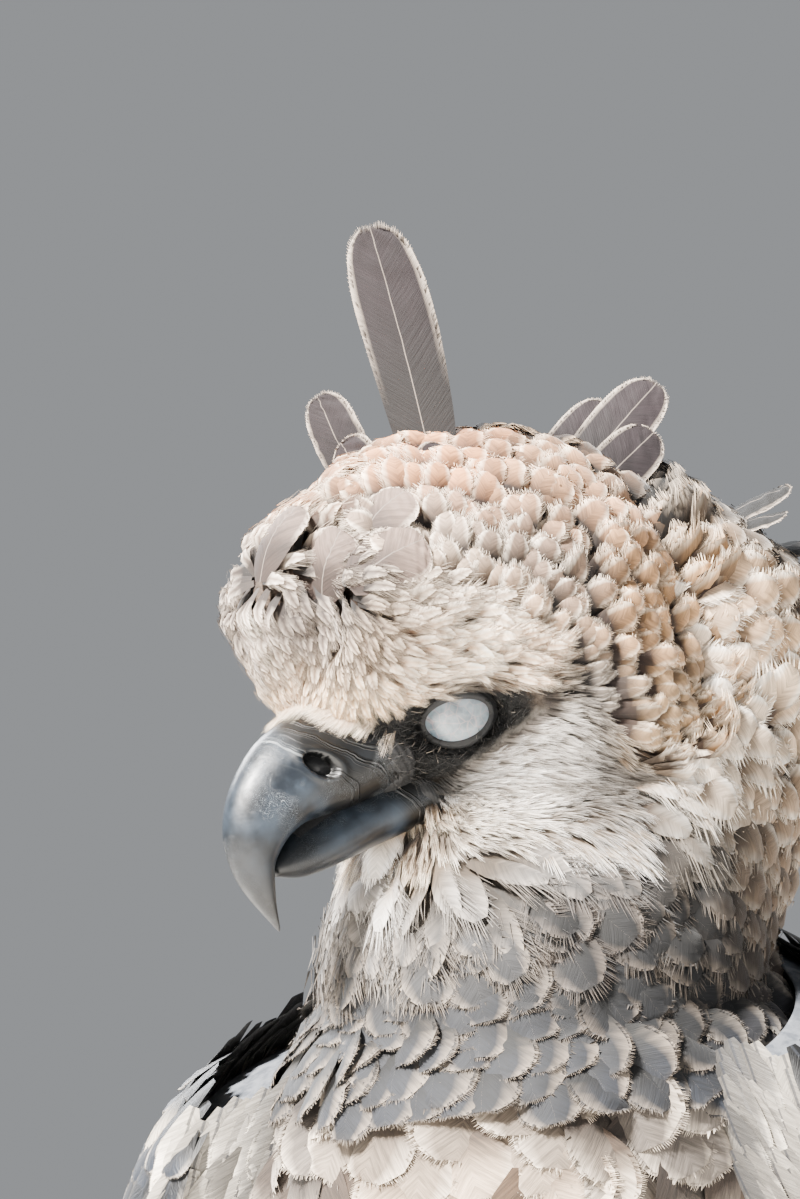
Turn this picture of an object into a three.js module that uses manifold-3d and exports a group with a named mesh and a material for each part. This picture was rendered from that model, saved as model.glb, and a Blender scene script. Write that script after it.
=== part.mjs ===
// A young harpy eagle at life size, standing at rest with its head turned to its right and tipped down.
// Millimetres, +Z up. The bird faces -Y and its left side is +X. The origin is on the floor, under the
// middle of the bird's box. Every form is a three.js geometry bent by a function; manifold-3d joins and cuts.
import * as THREE from "three";
import { mergeVertices } from "three/addons/utils/BufferGeometryUtils.js";
import Module from "manifold-3d";

const wasm = await Module();
wasm.setup();

// Driving dimensions
const GAP = 0.35; // between two parts that touch
const BOX_MIDDLE = { x: 0, y: 174.8 }; // middle of the bird's box, which is moved over the origin
const SIDES = { left: 1, right: -1 };

const TORSO = {
  front: [0, -70, 640], // where the neck grows, inside the coat
  back: [0, 150, 245], // where the tail grows
  radius: [[0, 50], [0.1, 67], [0.3, 92], [0.5, 98], [0.7, 90], [0.85, 74], [1, 50]],
  wider: [[0, 0.06], [0.12, 0.1], [0.3, 0.06], [0.5, 0.03], [1, 0]], // extra radius at the sides
  breast: [[0, 0.2], [0.1, 0.26], [0.25, 0.12], [0.5, 0.04], [0.8, 0.1], [1, 0]], // and at the breast
  roundFront: 0.14,
  roundBack: 0.16,
};

const NECK = {
  path: [[26, 0, 768], [18, -4, 736], [9, -6, 692], [2, -38, 645], [0, -48, 575]],
  radius: [[0, 30], [0.12, 43], [0.3, 53], [0.45, 56], [0.6, 60], [0.8, 62], [0.9, 57], [1, 42]],
  round: 0.16,
  feathers: 10.5, // how far its feathers stand out, with a gap
};

// The head's own frame: forward along the bill, left, and up, about the point between the eyes.
const HEAD = {
  eyes: [-30, -84, 700],
  turn: 37, // degrees to the bird's right
  tip: 24, // degrees down
  middle: [-28, 0, 5],
  forward: 58,
  backward: 72,
  half: 49,
  up: 56,
  down: 58,
};
// Swellings and hollows of the head: direction from its middle, height, and width in radians.
const HEAD_FORMS = [
  { toward: [0.8, 0.28, 0.56], height: 13, width: 0.38 },
  { toward: [0.8, -0.28, 0.56], height: 13, width: 0.38 },
  { toward: [0.3, 0, 0.95], height: 6, width: 0.5 },
  { toward: [0.64, 0.7, 0.34], height: 5, width: 0.26 },
  { toward: [0.64, -0.7, 0.34], height: 5, width: 0.26 },
  { toward: [0.64, 0.73, -0.22], height: -12, width: 0.34 },
  { toward: [0.64, -0.73, -0.22], height: -12, width: 0.34 },
  { toward: [-0.25, 0.68, -0.66], height: 17, width: 0.5 },
  { toward: [-0.25, -0.68, -0.66], height: 17, width: 0.5 },
  { toward: [0.8, 0, -0.6], height: -7, width: 0.35 },
];
const EYE = { centre: [-4.7, 18, -7.3], facing: [0.6, 0.79, -0.1], radius: 13, lid: 2, long: 10.4, high: 6.8 };

// Upper bill: the ridge, the cutting edge and half the width, each by how far along the bill it is.
const UPPER_BILL = {
  ridgeF: [[0, 12], [0.2, 40], [0.45, 57.5], [0.7, 71.5], [0.85, 74], [1, 67.4]],
  ridgeU: [[0, 9], [0.2, 8.6], [0.45, 3], [0.7, -11], [0.85, -27], [1, -46.8]],
  edgeF: [[0, 8], [0.2, 32], [0.45, 50], [0.7, 62.5], [0.85, 66], [1, 67]],
  edgeU: [[0, -24], [0.2, -23], [0.45, -21], [0.7, -27.5], [0.85, -37], [1, -46.8]],
  half: [[0, 20], [0.2, 16.5], [0.45, 12.5], [0.7, 9], [0.85, 6], [1, 0.6]],
};
const LOWER_BILL = {
  ridgeF: [[0, 4], [0.4, 27], [0.8, 53], [1, 63.5]],
  ridgeU: [[0, -19], [0.4, -19.5], [0.8, -22], [1, -27]],
  edgeF: [[0, 4], [0.4, 26], [0.8, 52], [1, 63]],
  edgeU: [[0, -36.5], [0.4, -36], [0.8, -35.5], [1, -31.5]],
  half: [[0, 19], [0.4, 14], [0.8, 8.5], [1, 3]],
};
const NOSTRIL = { f: 43, u: -5.4, out: 12.8, long: 5.4, high: 3.2, deep: 3.4, slant: 49 };

// Crest: root and tip in the head's frame, width, how far it sways, and how far its face turns left.
const CREST = [
  { root: [-34, 4, 52], tip: [-46, 0, 130], width: 23, sway: -4, twist: 42 },
  { root: [-27, -18, 50], tip: [-27, -28, 87], width: 19, sway: 2, twist: 20 },
  { root: [-24, -8, 54], tip: [-22, -17, 73], width: 19, sway: 2, twist: 20 },
  { root: [-24, 14, 54], tip: [-30, 20, 66], width: 14, sway: 0, twist: 30 },
  { root: [-52, 10, 40], tip: [-65, 10, 54], width: 16, sway: 1, twist: 30 },
  { root: [-60, 6, 36], tip: [-81, 6, 48], width: 16, sway: 2, twist: 30 },
  { root: [-64, -4, 34], tip: [-108, -6, 53], width: 14, sway: 3, twist: 30 },
  { root: [-66, 8, 32], tip: [-117, 10, 54], width: 18, sway: 4, twist: 30 },
  { root: [-66, 18, 30], tip: [-106, 16, 42], width: 17, sway: 3, twist: 30 },
];

const WING = {
  raised: { left: 0.012, right: 0.04 }, // how far each wing sits from the other, along the body
  radius: [[0, 64], [0.12, 80], [0.3, 102], [0.5, 105], [0.7, 96], [0.85, 84], [1, 76], [1.4, 80]],
  wider: [[0, 0.1], [0.12, 0.16], [0.3, 0.08], [0.5, 0.05], [0.8, 0.05], [1.4, 0]],
  thick: 7,
  wrist: { angle: 102, along: 0.15, height: 29, wide: 30, long: 0.14 },
  lowerEdge: [[0, 104], [0.12, 118], [0.3, 120], [0.5, 104], [0.7, 90], [0.9, 72], [1.1, 50], [1.4, 30]],
  upperEdge: [[0, 34], [0.1, 16], [0.3, 8], [1.4, 4]],
  tilt: 1.3,
  padFrom: 0.075,
  padTo: 0.86,
};
// Wing feathers in tiers: how many, where roots and tips lie along the body, where the tier starts and stops
// between the wing's two edges, the width of one in degrees, and its height over the wing at root and tip.
const WING_TIERS = [
  { count: 5, roots: [0.6, 0.46], tips: [1.26, 0.96], across: [0.6, 0.95], wide: 15, rise: [-3, 1] },
  { count: 5, roots: [0.42, 0.48], tips: [1.03, 0.98], across: [0.1, 0.84], wide: 22, rise: [-3, 6] },
  { count: 6, roots: [0.31, 0.33], tips: [0.66, 0.6], across: [0.08, 0.94], wide: 22, rise: [-2, 8] },
  { count: 6, roots: [0.2, 0.22], tips: [0.47, 0.44], across: [0.08, 0.94], wide: 22, rise: [-2, 9] },
  { count: 5, roots: [0.1, 0.13], tips: [0.31, 0.31], across: [0.1, 0.9], wide: 25, rise: [-2, 9] },
];

const TAIL = {
  long: 400,
  slope: 34.5, // degrees below level
  feathers: 12,
  width: 46,
  apart: 8.5, // between the shafts of two neighbours at the root
  spread: 9, // more than that at the tips
  stack: 1.15, // height of one feather over the next
  stump: { long: 170, half: 46, high: 28 },
};

const RUFF = {
  tiers: [[0.06, 0.3], [0.2, 0.45], [0.36, 0.64], [0.6, 0.83]], // from root to tip along the neck
  count: 9,
  wide: 45, // degrees round the neck
  rise: [-2, 7],
  tilt: 1.3,
};
// Long dark feathers of the nape, from root to tip.
const NAPE = [
  { root: [34, -6, 748], tip: [62, 4, 768], width: 18 },
  { root: [40, -2, 742], tip: [78, 10, 752], width: 18 },
  { root: [38, 6, 738], tip: [84, 34, 716], width: 26 },
];

const LEG = {
  hip: [46, 62, 420],
  knee: [60, 42, 330],
  shin: [64, 46, 226],
  ankle: [62, 66, 132],
  thigh: [[0, 56], [0.3, 62], [0.55, 50], [0.8, 30], [1, 19]],
  foot: [70, 20, 20],
  tarsus: [[0, 15], [0.15, 13.5], [0.5, 12], [0.85, 13], [1, 15]],
};
// Toes: which way they point, how far they reach from the foot's middle, their thickness and their claw's length.
const TOES = [
  { name: "hallux", heading: 172, reach: 50, radius: 12, claw: 70 },
  { name: "inner", heading: -36, reach: 60, radius: 11.5, claw: 54 },
  { name: "middle", heading: 0, reach: 82, radius: 11, claw: 45 },
  { name: "outer", heading: 38, reach: 66, radius: 10, claw: 38 },
];

// Claws: the angle where the arc starts, over the level, how much it bends in radians, how thick it is at its
// root as a share of the toe's, and the height of its tip's middle.
const CLAW = { rise: 122, arc: 1.95, thick: 0.7, tip: 0.8 };

const COLOURS = {
  down: 0xd9d2c8,
  slate: 0x5b5e66,
  tail: 0x6b6762,
  bill: 0x3b4048,
  eye: 0xaab6c2,
  scale: 0xc9a548,
  claw: 0x1d1c1e,
};

// Small helpers
const RAD = Math.PI / 180;
const vec = (x, y, z) => new THREE.Vector3(x, y, z);
const at = (list) => vec(...list);
const mix = (a, b, t) => a + (b - a) * t;
const bell = (x) => Math.exp(-x * x);

// A smooth curve through [x, y] stations, flat beyond its ends.
function through(stations) {
  const last = stations.length - 1;
  const slope = (k) => {
    const [x0, y0] = stations[Math.max(k - 1, 0)];
    const [x1, y1] = stations[Math.min(k + 1, last)];
    return (y1 - y0) / (x1 - x0);
  };
  return (x) => {
    if (x <= stations[0][0]) return stations[0][1];
    if (x >= stations[last][0]) return stations[last][1];
    const i = stations.findIndex((station) => station[0] >= x) - 1;
    const [x0, y0] = stations[i];
    const [x1, y1] = stations[i + 1];
    const wide = x1 - x0;
    const s = (x - x0) / wide;
    const rise = y0 * (2 * s ** 3 - 3 * s ** 2 + 1) + y1 * (3 * s ** 2 - 2 * s ** 3);
    return rise + wide * (slope(i) * (s ** 3 - 2 * s ** 2 + s) + slope(i + 1) * (s ** 3 - s ** 2));
  };
}

// 0 at an end, rising like a quarter circle to 1 at `reach` from it.
const dome = (t, reach) => (t >= reach ? 1 : Math.sqrt(Math.max(0, 1 - (1 - t / reach) ** 2)));

// A geometry as a manifold-3d solid, with its faces turned outwards.
function solid(geometry) {
  const bare = geometry.clone();
  bare.deleteAttribute("normal");
  bare.deleteAttribute("uv");
  const merged = mergeVertices(bare, 1e-4);
  const faces = [];
  for (let i = 0; i < merged.index.count; i += 3) {
    const [a, b, c] = [0, 1, 2].map((k) => merged.index.getX(i + k));
    if (a !== b && b !== c && c !== a) faces.push([a, b, c]);
  }
  const build = (list) =>
    new wasm.Manifold(
      new wasm.Mesh({
        numProp: 3,
        vertProperties: new Float32Array(merged.attributes.position.array),
        triVerts: new Uint32Array(list.flat()),
      }),
    );
  const made = build(faces);
  return made.volume() < 0 ? build(faces.map(([a, b, c]) => [a, c, b])) : made;
}

const join = (solids) => wasm.Manifold.union(solids);
const largest = (made) => made.decompose().reduce((a, b) => (b.volume() > a.volume() ? b : a));

// A closed solid whose skin is surface(angle, along, outward), drawn to a point at both ends.
function loft(surface, { around = 24, rows = 14, from = 0, to = 1, grow = 0 } = {}) {
  const ball = new THREE.SphereGeometry(1, around, rows);
  const place = ball.attributes.position;
  const uv = ball.attributes.uv;
  const middle = (along) => surface(0, along, 0).add(surface(180, along, 0)).multiplyScalar(0.5);
  const pole = (end, inside) => {
    const out = middle(end).sub(middle(inside)).normalize();
    return middle(end).addScaledVector(out, grow);
  };
  const step = (to - from) / 50;
  for (let i = 0; i < place.count; i += 1) {
    const t = (1 - Math.cos(Math.PI * (1 - uv.getY(i)))) / 2;
    let point = surface(360 * (uv.getX(i) % 1), mix(from, to, t), grow);
    if (t < 1e-9) point = pole(from, from + step);
    if (t > 1 - 1e-9) point = pole(to, to - step);
    place.setXYZ(i, point.x, point.y, point.z);
  }
  return solid(ball);
}

// The surface of a round, tapering limb along a path: widths are [along, radius] stations.
function limb(path, radius, { flat = 1, rounding = 0.12, side = [1, 0, 0], grow = 0 } = {}) {
  const points = path.map(at);
  const start = points[0].clone().sub(points[1]).setLength(grow);
  const end = points.at(-1).clone().sub(points.at(-2)).setLength(grow);
  points[0].add(start);
  points.at(-1).add(end);
  const line = new THREE.CatmullRomCurve3(points, false, "centripetal");
  const thick = through(radius);
  return (angle, along, outward) => {
    const tangent = line.getTangent(THREE.MathUtils.clamp(along, 0, 1));
    const up = tangent.clone().cross(at(side)).normalize();
    const across = up.clone().cross(tangent).normalize();
    const r = thick(along) * dome(along, rounding) * dome(1 - along, rounding) + outward;
    const point = line.getPoint(THREE.MathUtils.clamp(along, 0, 1));
    point.addScaledVector(across, r * Math.sin(angle * RAD));
    return point.addScaledVector(up, r * flat * Math.cos(angle * RAD));
  };
}

// The outline of a feather: half its width by how far along it is, as a share of its greatest half width.
const feather = through([[0, 0.32], [0.35, 0.86], [0.65, 1], [0.87, 0.84], [1, 0.3]]);

// A feather's vane as a closed plate. place(across, along, outward) says where its points go, with
// across from -1 to 1. Both faces are split into triangles alike.
function vane(place, { columns = 2, rows = 4, thick = 0.8, outline = feather } = {}) {
  const sheet = new THREE.PlaneGeometry(2, 1, columns, rows);
  const grid = sheet.attributes.position;
  const lower = [];
  const upper = [];
  for (let i = 0; i < grid.count; i += 1) {
    const t = 1 - (0.5 + grid.getY(i)) ** 1.5;
    const s = grid.getX(i) * outline(t);
    lower.push(place(s, t, 0));
    upper.push(place(s, t, t > 0.99 ? 0.6 * thick : thick));
  }
  const faces = [];
  const edges = new Map();
  const index = sheet.index.array;
  for (let i = 0; i < index.length; i += 3) {
    const [a, b, c] = index.slice(i, i + 3);
    faces.push([a, b, c], [a + grid.count, c + grid.count, b + grid.count]);
    for (const [p, q] of [[a, b], [b, c], [c, a]]) {
      if (!edges.delete(q + "," + p)) edges.set(p + "," + q, [p, q]);
    }
  }
  for (const [p, q] of edges.values()) {
    faces.push([q, p, p + grid.count], [q, p + grid.count, q + grid.count]);
  }
  const plate = new THREE.BufferGeometry().setFromPoints([...upper, ...lower]);
  plate.setIndex(faces.flat());
  return solid(plate);
}

// A vane that follows a surface(angle, along, outward) from its root to its tip, rising as it goes, with
// one edge higher than the other by twice `tilt`. Its width is in degrees round the surface.
function lying(surface, { root, tip, wide, rise, tilt, ...form }) {
  return vane((s, t, outward) => {
    const angle = mix(root[0], tip[0], t);
    const along = mix(root[1], tip[1], t);
    const height = mix(rise[0], rise[1], t) + tilt * s + outward;
    return surface(angle + (s * wide) / 2, along, height);
  }, form);
}

// A vane that stands free from a root to a tip, swaying sideways, with its face towards `facing`.
function standing({ root, tip, facing, width, sway, sink, ...form }) {
  const along = tip.clone().sub(root);
  const across = along.clone().cross(facing).normalize();
  const out = across.clone().cross(along).normalize();
  const base = root.clone().addScaledVector(along.clone().normalize(), -sink);
  return vane((s, t, outward) => {
    const point = base.clone().lerp(tip, t);
    point.addScaledVector(across, (s * width) / 2);
    return point.addScaledVector(out, sway * Math.sin(Math.PI * t) + outward - 1.2 * s * s);
  }, form);
}

// Torso, in coordinates round its axis: the angle from the middle of the back, and how far along it is.
const torsoFront = at(TORSO.front);
const torsoBack = at(TORSO.back);
const torsoAxis = torsoBack.clone().sub(torsoFront).normalize();
const torsoDorsal = vec(1, 0, 0).cross(torsoAxis).normalize().negate();
if (torsoDorsal.z < 0) torsoDorsal.negate();
const torsoRadius = through(TORSO.radius);
const torsoWider = through(TORSO.wider);
const torsoBreast = through(TORSO.breast);

function roundTorso(angle, along, radius) {
  const point = torsoFront.clone().lerp(torsoBack, along);
  point.addScaledVector(torsoDorsal, radius * Math.cos(angle * RAD));
  point.x += radius * Math.sin(angle * RAD);
  return point;
}

function torso(angle, along, outward) {
  const side = torsoWider(along) * Math.sin(angle * RAD) ** 2;
  const breast = torsoBreast(along) * Math.max(0, -Math.cos(angle * RAD)) ** 2;
  const ends = dome(along, TORSO.roundFront) * dome(1 - along, TORSO.roundBack);
  return roundTorso(angle, along, torsoRadius(along) * (1 + side + breast) * ends + outward);
}

// Neck, with the nape: a limb from inside the back of the head down into the torso.
const neck = limb(NECK.path, NECK.radius, { rounding: NECK.round, side: [1, 0, 0] });

// Head
const headEyes = at(HEAD.eyes);
const turn = new THREE.Euler(HEAD.tip * RAD, 0, -HEAD.turn * RAD, "ZXY");
const headForward = vec(0, -1, 0).applyEuler(turn);
const headLeft = vec(1, 0, 0).applyEuler(turn);
const headUp = headLeft.clone().cross(headForward).negate();

// A point given as forward, left and up from the point between the eyes.
function headPoint(f, l, u) {
  return headEyes.clone().addScaledVector(headForward, f).addScaledVector(headLeft, l)
    .addScaledVector(headUp, u);
}

const headForms = HEAD_FORMS.map((form) => ({ ...form, toward: at(form.toward).normalize() }));

function headReach(f, l, u) {
  const long = f > 0 ? HEAD.forward : HEAD.backward;
  const high = u > 0 ? HEAD.up : HEAD.down;
  let reach = 1 / Math.hypot(f / long, l / HEAD.half, u / high);
  for (const { toward, height, width } of headForms) {
    const cosine = THREE.MathUtils.clamp(f * toward.x + l * toward.y + u * toward.z, -1, 1);
    reach += height * bell(Math.acos(cosine) / width);
  }
  return reach;
}

// Head surface: the angle round the bill's line from the crown, and the angle back from the bill.
function head(angle, back, outward) {
  const f = Math.cos(back * RAD);
  const l = Math.sin(back * RAD) * Math.sin(angle * RAD);
  const u = Math.sin(back * RAD) * Math.cos(angle * RAD);
  const reach = headReach(f, l, u) + outward;
  const [mf, ml, mu] = HEAD.middle;
  return headPoint(mf + f * reach, ml + l * reach, mu + u * reach);
}

const headLoft = (grow) => loft(head, { around: 24, rows: 17, from: 0, to: 180, grow });
const torsoLoft = (grow) => loft(torso, { around: 24, rows: 12, grow });
const neckLoft = (grow) => loft(neck, { around: 20, rows: 10, grow });

function ellipsoid(centre, axes, sizes) {
  const ball = new THREE.SphereGeometry(1, 10, 8);
  const [x, y, z] = axes.map((axis, i) => axis.clone().multiplyScalar(sizes[i]));
  ball.applyMatrix4(new THREE.Matrix4().makeBasis(x, y, z).setPosition(centre));
  return solid(ball);
}

// An eye's middle, and the directions along its opening, out of the face and across the opening.
function eyeFrame(side) {
  const [f, l, u] = EYE.facing;
  const out = headForward.clone().multiplyScalar(f).addScaledVector(headLeft, side * l)
    .addScaledVector(headUp, u).normalize();
  const long = headForward.clone().addScaledVector(out, -headForward.dot(out)).normalize();
  const [x, y, z] = EYE.centre;
  return { middle: headPoint(x, side * y, z), axes: [long, out, long.clone().cross(out)] };
}

function eyeball(side, grow) {
  const { middle, axes } = eyeFrame(side);
  const size = EYE.radius + grow;
  return ellipsoid(middle, axes, [size, size, size]);
}

// The opening between the lids, as a short oval rod from the eye's middle outwards.
function eyeOpening(side) {
  const { middle, axes } = eyeFrame(side);
  const rod = new THREE.CylinderGeometry(1, 1, 1, 14);
  const length = 2 * EYE.radius;
  const [x, y, z] = axes.map((axis, i) => axis.clone().multiplyScalar([EYE.long, length, EYE.high][i]));
  middle.addScaledVector(axes[1], length / 2);
  rod.applyMatrix4(new THREE.Matrix4().makeBasis(x, y, z).setPosition(middle));
  return solid(rod);
}

// The crest's feathers, larger all round by `grow`.
function crest(grow) {
  return CREST.map(({ root, tip, width, sway, twist }) =>
    standing({
      root: headPoint(...root),
      tip: headPoint(...tip),
      facing: headForward.clone().applyAxisAngle(headUp, twist * RAD),
      width: width + 2 * grow,
      sway: sway - grow,
      sink: 8,
      rows: 4,
      thick: 0.9 + 2 * grow,
    }),
  );
}

function makeHead() {
  const solids = [headLoft(0), eyeball(1, EYE.lid), eyeball(-1, EYE.lid), ...crest(0)];
  const eyes = [1, -1].flatMap((side) => [eyeball(side, GAP), eyeOpening(side)]);
  return join(solids).subtract(join(eyes));
}

// One half of the bill, from stations of its ridge, its edge and half its width.
function billSurface(form) {
  const [ridgeF, ridgeU, edgeF, edgeU] = [form.ridgeF, form.ridgeU, form.edgeF, form.edgeU].map(through);
  const half = through(form.half);
  return (angle, along, outward) => {
    const ridge = vec(ridgeF(along), 0, ridgeU(along));
    const edge = vec(edgeF(along), 0, edgeU(along));
    const middle = ridge.clone().lerp(edge, 0.5);
    const high = ridge.distanceTo(edge) / 2;
    const ends = dome(along, 0.06) * dome(1 - along, 0.02);
    const c = Math.cos(angle * RAD);
    const s = Math.sin(angle * RAD);
    const down = edge.sub(ridge).normalize();
    const wide = half(along) * (1 - 0.22 * c) * ends + outward;
    const point = middle.addScaledVector(down, -c * (high * ends + outward));
    return headPoint(point.x, wide * s, point.z);
  };
}

function nostril(side) {
  const tilt = NOSTRIL.slant * RAD;
  const long = headForward.clone().multiplyScalar(Math.cos(tilt)).addScaledVector(headUp, Math.sin(tilt));
  const high = long.clone().cross(headLeft).normalize();
  const centre = headPoint(NOSTRIL.f, side * NOSTRIL.out, NOSTRIL.u);
  return ellipsoid(centre, [long, headLeft, high], [NOSTRIL.long, NOSTRIL.deep, NOSTRIL.high]);
}

function makeUpperBill() {
  const whole = loft(billSurface(UPPER_BILL), { around: 12, rows: 13 });
  const lids = [eyeball(1, EYE.lid + GAP), eyeball(-1, EYE.lid + GAP)];
  return whole.subtract(join([headLoft(GAP), ...lids, nostril(1), nostril(-1)]));
}

function makeLowerBill() {
  const whole = loft(billSurface(LOWER_BILL), { around: 12, rows: 9 });
  const upper = loft(billSurface(UPPER_BILL), { around: 12, rows: 13, grow: GAP });
  return whole.subtract(join([headLoft(GAP), upper]));
}

function makeNeck() {
  const vanes = RUFF.tiers.flatMap(([from, to], k) =>
    Array.from({ length: RUFF.count }, (_, i) => {
      const angle = ((i + (k % 2) / 2) * 360) / RUFF.count;
      return lying(neck, {
        root: [angle, from],
        tip: [angle, to],
        wide: RUFF.wide,
        rise: RUFF.rise,
        tilt: RUFF.tilt,
        columns: 1,
        rows: 3,
      });
    }),
  );
  for (const { root, tip, width } of NAPE) {
    const form = { facing: vec(0.4, -0.2, 0.9), width, sway: 3, sink: 6, rows: 3 };
    vanes.push(standing({ root: at(root), tip: at(tip), ...form }));
  }
  const lowerBill = loft(billSurface(LOWER_BILL), { around: 12, rows: 9, grow: GAP });
  const lids = [eyeball(1, EYE.lid + GAP), eyeball(-1, EYE.lid + GAP)];
  const clear = [headLoft(GAP), ...lids, torsoLoft(GAP), lowerBill, ...crest(GAP)];
  return join([neckLoft(0), ...vanes]).subtract(join(clear));
}

// Wing, in the torso's coordinates. `side` is 1 on the left and -1 on the right.
const wingRadius = through(WING.radius);
const wingWider = through(WING.wider);
const wingLower = through(WING.lowerEdge);
const wingUpper = through(WING.upperEdge);

function wingSurface(side, raised) {
  return (angle, along, outward) => {
    const { wrist } = WING;
    const bulge = bell((angle - wrist.angle) / wrist.wide) * bell((along - wrist.along) / wrist.long);
    const wider = 1 + wingWider(along) * Math.sin(angle * RAD) ** 2;
    const radius = wingRadius(along) * wider + WING.thick + wrist.height * bulge + outward;
    return roundTorso(side * angle, along + raised, radius);
  };
}

// The wing's arm and hand under the feathers, as a bent pad that thins towards its edges. With room for the
// feathers it is the space that the whole wing takes: `room` is how far they stand out and reach down.
function wingPad(surface, room = { out: 0, down: 0 }) {
  const block = new THREE.BoxGeometry(2, 1, 1, 6, 7, 1);
  const place = block.attributes.position;
  for (let i = 0; i < place.count; i += 1) {
    const along = mix(WING.padFrom, WING.padTo, place.getY(i) + 0.5);
    const across = (place.getX(i) + 1) / 2;
    const angle = mix(wingUpper(along), wingLower(along) + room.down, across);
    const fromEnd = Math.min(along - WING.padFrom, WING.padTo - along);
    const thin = 12 * (1 - dome(0.5 - Math.abs(across - 0.5), 0.22)) + 14 * (1 - dome(fromEnd, 0.12));
    const outward = place.getZ(i) > 0 ? room.out || -thin : -46;
    const point = surface(angle, along, outward);
    place.setXYZ(i, point.x, point.y, point.z);
  }
  return solid(block);
}

function makeWing(side, raised) {
  const surface = wingSurface(side, raised);
  const vanes = WING_TIERS.flatMap(({ count, roots, tips, across, wide, rise }) =>
    Array.from({ length: count }, (_, i) => {
      const share = i / (count - 1);
      const place = mix(across[0], across[1], share);
      const [from, to] = [mix(roots[0], roots[1], share), mix(tips[0], tips[1], share)];
      const angleAt = (along) => mix(wingUpper(along), wingLower(along), place);
      return lying(surface, {
        root: [angleAt(from), from],
        tip: [angleAt(to), to],
        wide,
        rise,
        tilt: WING.tilt,
        columns: 1,
        rows: 3,
      });
    }),
  );
  return join([wingPad(surface), ...vanes]).subtract(join([torsoLoft(GAP), neckLoft(NECK.feathers)]));
}

// Tail, in its own frame: back along its slope, sideways and up.
const tailBack = vec(0, Math.cos(TAIL.slope * RAD), -Math.sin(TAIL.slope * RAD));
const tailUp = vec(0, Math.sin(TAIL.slope * RAD), Math.cos(TAIL.slope * RAD));

function tailPoint(back, side, up) {
  return at(TORSO.back).addScaledVector(tailBack, back).addScaledVector(tailUp, up).add(vec(side, 0, 0));
}

function tailStump(angle, along, outward) {
  const { long, half, high } = TAIL.stump;
  const ends = dome(along, 0.2) * (1 - 0.75 * along ** 2) * dome(1 - along, 0.06);
  const side = (half * ends + outward) * Math.sin(angle * RAD);
  return tailPoint(mix(-40, long, along), side, (high * ends + outward) * Math.cos(angle * RAD));
}

function makeTail() {
  const pairs = TAIL.feathers / 2;
  const vanes = [];
  for (let k = 0; k < pairs; k += 1) {
    for (const side of [-1, 1]) {
      const root = side * (0.5 + k) * TAIL.apart * 0.5;
      const tip = side * (0.5 + k) * (TAIL.apart + TAIL.spread);
      const down = (2 * k + (side > 0 ? 1 : 0)) * TAIL.stack;
      const long = TAIL.long * (1 - 0.012 * k * k * 0.3);
      vanes.push(
        vane((s, t, outward) => {
          const across = mix(root, tip, t) + (s * TAIL.width) / 2;
          const level = 6 - down;
          return tailPoint(mix(10, long, t), across, level * mix(0.75, 1, t) + outward);
        }, { columns: 1, rows: 4, thick: 0.6 }),
      );
    }
  }
  return join([loft(tailStump, { around: 14, rows: 8 }), ...vanes]).subtract(torsoLoft(GAP));
}

// Legs
const sided = (side, [x, y, z]) => [side * x, y, z];

function thigh(side, grow) {
  const path = [LEG.hip, LEG.knee, LEG.shin, LEG.ankle].map((point) => sided(side, point));
  return loft(limb(path, LEG.thigh, { rounding: 0.16, grow }), { around: 16, rows: 10, grow });
}

function tarsus(side, grow) {
  const path = [LEG.ankle, LEG.foot].map((point) => sided(side, point));
  path.splice(1, 0, [side * 66, mix(path[0][1], path[1][1], 0.5) + 3, mix(path[0][2], path[1][2], 0.5)]);
  return loft(limb(path, LEG.tarsus, { rounding: 0.12, grow }), { around: 12, rows: 7, grow });
}

// Lays everything that would reach below the floor flat on it.
function flattened(surface) {
  return (angle, along, outward) => {
    const point = surface(angle, along, outward);
    point.z = Math.max(point.z, 0);
    return point;
  };
}

const toeHeading = (side, toe) => vec(side * Math.sin(toe.heading * RAD), -Math.cos(toe.heading * RAD), 0);

function toePath(side, toe) {
  const foot = at(sided(side, LEG.foot));
  const heading = toeHeading(side, toe);
  const { reach, radius } = toe;
  const station = (share, height) => foot.clone().addScaledVector(heading, reach * share).setZ(height);
  return [station(0, radius + 4), station(0.3, radius + 2), station(0.65, radius - 1.5), station(1, radius + 1.5)];
}

function toeSolid(side, toe, grow) {
  const path = toePath(side, toe).map((point) => point.toArray());
  const r = toe.radius;
  const pads = [[0, r * 1.2], [0.3, r], [0.5, r * 1.08], [0.65, r * 0.88], [0.85, r * 1.02], [1, r * 0.8]];
  const across = toeHeading(side, toe).cross(vec(0, 0, 1)).toArray();
  const surface = limb(path, pads, { rounding: 0.14, side: across, grow });
  return loft(flattened(surface), { around: 8, rows: 8, grow });
}

function makeFoot(side) {
  return join(TOES.map((toe) => toeSolid(side, toe, 0))).subtract(tarsus(side, GAP));
}

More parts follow.
